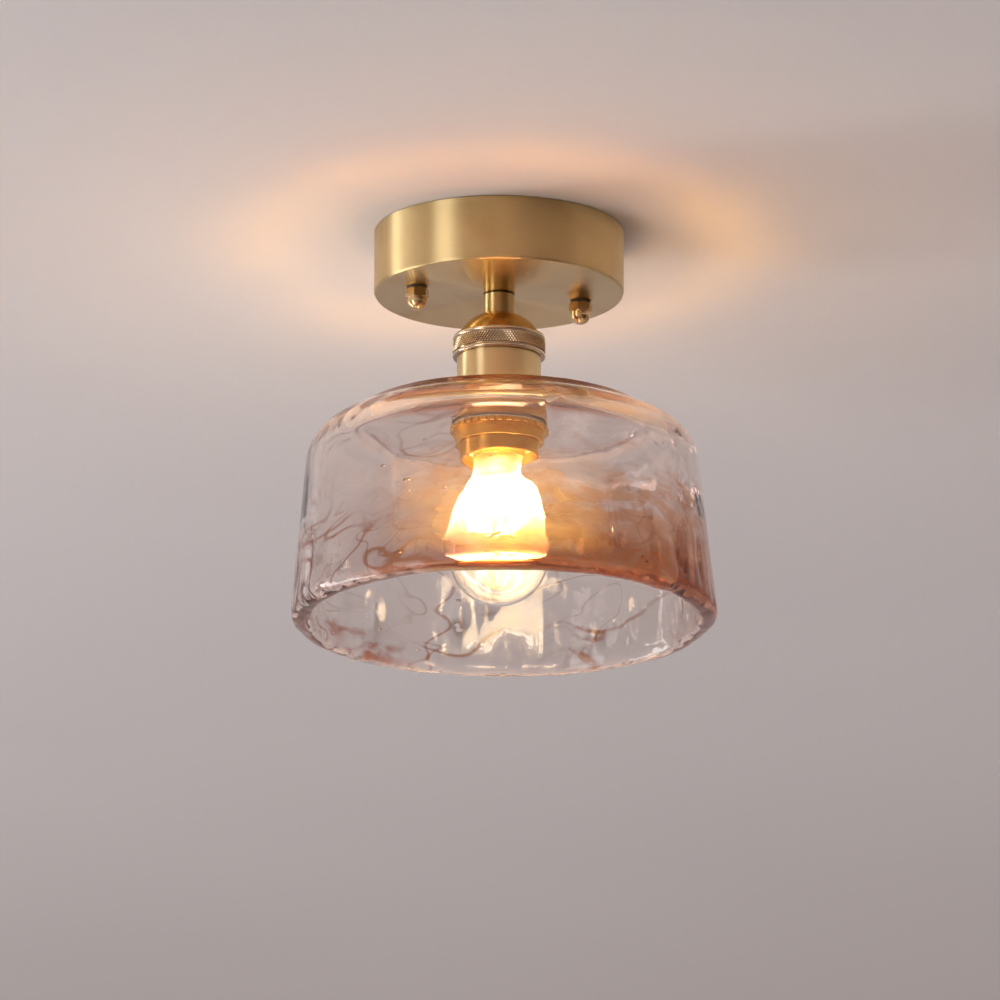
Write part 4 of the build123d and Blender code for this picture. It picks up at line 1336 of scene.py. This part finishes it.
@dataclass
class Studio:
    """Ceiling, room light, the bulb's own light and the camera."""

    azimuth: float = -16.6
    elevation: float = -16.2
    distance: float = 5.736
    lens: float = 432.0
    far_limit: float = 100.0
    aim_level: float = -0.1336
    aim_shift: float = 0.0005
    ceiling_reach: float = 6.0
    ceiling_hole: float = 0.057
    ceiling_gap: float = 0.4 * MM
    ceiling_sides: int = 64
    room: tuple[tuple[float, Colour], ...] = (
        (-180.0, (0.35, 0.285, 0.29)), (-150.0, (0.42, 0.37, 0.36)), (-125.0, (0.34, 0.29, 0.26)),
        (-80.0, (0.34, 0.26, 0.18)), (-37.0, (0.25, 0.18, 0.12)), (-24.0, (0.44, 0.34, 0.24)),
        (0.0, (0.29, 0.21, 0.14)), (25.0, (0.10, 0.06, 0.03)), (45.0, (0.04, 0.022, 0.01)),
        (71.0, (0.03, 0.017, 0.008)), (77.0, (0.24, 0.18, 0.13)), (130.0, (0.28, 0.23, 0.20)),
        (180.0, (0.35, 0.285, 0.29)))
    backdrop: Colour = (0.50, 0.46, 0.455)
    wash_power: float = 16.6
    wash_colour: Colour = (0.74, 0.85, 1.0)
    wash_size: float = 3.0
    wash_place: Triple = (-0.5, 0.5, -2.6)
    bulb_level: float = -0.143
    bulb_power: float = 1.95
    bulb_radius: float = 0.012
    bulb_colour: Colour = (1.0, 0.56, 0.05)
    glow_power: float = 2.2
    glow_radius: float = 0.018
    glow_colour: Colour = (1.0, 0.93, 0.8)
    softboxes: tuple[Softbox, ...] = (
        Softbox("key_softbox", Side.FRONT_LEFT, 1.9, -1.0, 0.64, 1.9, 10.5),
        Softbox("edge_softbox", Side.BACK_LEFT, 1.9, -1.0, 0.36, 1.9, 13.0))
    bounces: int = 32

    def camera(self) -> None:
        """Set the camera where the photograph was taken from."""
        turn, rise = math.radians(self.azimuth), math.radians(self.elevation)
        back = Vector((math.sin(turn) * math.cos(rise), -math.cos(turn) * math.cos(rise),
                       math.sin(rise)))
        right = Vector((math.cos(turn), math.sin(turn), 0))
        aim = Vector((0, 0, self.aim_level)) + right * self.aim_shift
        data = bpy.data.cameras.new("camera")
        data.lens = self.lens
        data.clip_end = self.far_limit
        camera = bpy.data.objects.new("camera", data)
        camera.location = aim + back * self.distance
        camera.rotation_euler = (-back).to_track_quat("-Z", "Y").to_euler()
        bpy.context.scene.collection.objects.link(camera)
        bpy.context.scene.camera = camera

    def ceiling(self) -> None:
        """Lay the ceiling just over the canopy, open over its mouth and facing down."""
        mesh = bmesh.new()
        ends = [mesh.verts.new((reach, 0.0, self.ceiling_gap))
                for reach in (self.ceiling_hole, self.ceiling_reach)]
        mesh.edges.new(ends)
        spin_round(mesh, self.ceiling_sides)
        mesh.normal_update()
        bmesh.ops.reverse_faces(mesh, faces=[face for face in mesh.faces if face.normal.z > 0])
        data = bpy.data.meshes.new("ceiling")
        mesh.to_mesh(data)
        mesh.free()
        data.materials.append(CEILING_PAINT.material())
        made = bpy.data.objects.new("ceiling", data)
        bpy.context.scene.collection.objects.link(made)

    def world(self) -> None:
        """Light the room from a world that is dim on one side and plain to the eye."""
        scene = bpy.context.scene
        scene.world = bpy.data.worlds.new("room")
        graph = Graph(scene.world)
        direction = graph.node("ShaderNodeTexCoord", output="Generated")
        turn = math.radians(self.azimuth)
        right = graph.along(direction, (math.cos(turn), math.sin(turn), 0.0))
        front = graph.along(direction, (math.sin(turn), -math.cos(turn), 0.0))
        round_about = right.math("ARCTAN2", right, front) / FULL_TURN + 0.5
        stops = [((bearing + 180) / 360, colour) for bearing, colour in self.room]
        lit = graph.node("ShaderNodeValToRGB", {"stops": stops}, {"Fac": round_about}, "Color")
        is_seen = sum(graph.node("ShaderNodeLightPath", output=f"Is {kind} Ray")
                      for kind in ("Camera", "Transmission", "Singular"))
        colour = graph.mix(lit, self.backdrop, is_seen)
        graph.finish(graph.node("ShaderNodeBackground", inputs={"Color": colour, "Strength": 1.0}))

    def wash(self) -> None:
        """Wash the ceiling evenly from below, without a mirror image in the metal."""
        data = bpy.data.lights.new("ceiling_wash", "AREA")
        data.shape = "DISK"
        data.size = self.wash_size
        data.energy = self.wash_power
        data.color = self.wash_colour
        lamp = bpy.data.objects.new("ceiling_wash", data)
        lamp.location = self.wash_place
        lamp.rotation_euler = (math.pi, 0.0, 0.0)
        lamp.visible_camera = False
        lamp.visible_glossy = False
        lamp.visible_transmission = False
        bpy.context.scene.collection.objects.link(lamp)

    def bulb_lamp(self, name: str, power: float, radius: float, colour: Colour) -> bpy.types.Object:
        """Round lamp in the middle of the bulb, not seen by itself.

        Args:
            name: Its name.
            power: Its power in watts.
            radius: Its radius in metres.
            colour: Its colour.

        Returns:
            The lamp.
        """
        data = bpy.data.lights.new(name, "POINT")
        data.energy = power
        data.color = colour
        data.shadow_soft_size = radius
        lamp = bpy.data.objects.new(name, data)
        lamp.location = (0, 0, self.bulb_level)
        lamp.visible_camera = False
        bpy.context.scene.collection.objects.link(lamp)
        return lamp

    def bulb_light(self) -> None:
        """Warm light that the bulb throws, and the paler glow that its glass shows."""
        thrown = self.bulb_lamp("bulb_light", self.bulb_power, self.bulb_radius, self.bulb_colour)
        thrown.visible_transmission = False
        shown = self.bulb_lamp("bulb_glow", self.glow_power, self.glow_radius, self.glow_colour)
        shown.visible_diffuse = False
        shown.visible_glossy = False

    def build(self) -> None:
        """Set up the whole studio."""
        scene = bpy.context.scene
        scene.view_settings.view_transform = "Standard"
        scene.cycles.max_bounces = self.bounces
        scene.cycles.glossy_bounces = self.bounces
        scene.cycles.transmission_bounces = self.bounces
        scene.cycles.transparent_max_bounces = self.bounces
        self.camera()
        self.ceiling()
        self.world()
        self.wash()
        self.bulb_light()
        for box in self.softboxes:
            box.build(self.azimuth)


def main() -> None:
    """Load the frame, build and dress every piece, and light the scene."""
    logging.basicConfig(level=logging.INFO, format="%(name)s: %(message)s")
    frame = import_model()
    dress_cad(frame["nodes"])
    GlassShade().build()
    BulbCap().build()
    Studio().build()


if __name__ == "__main__":
    main()
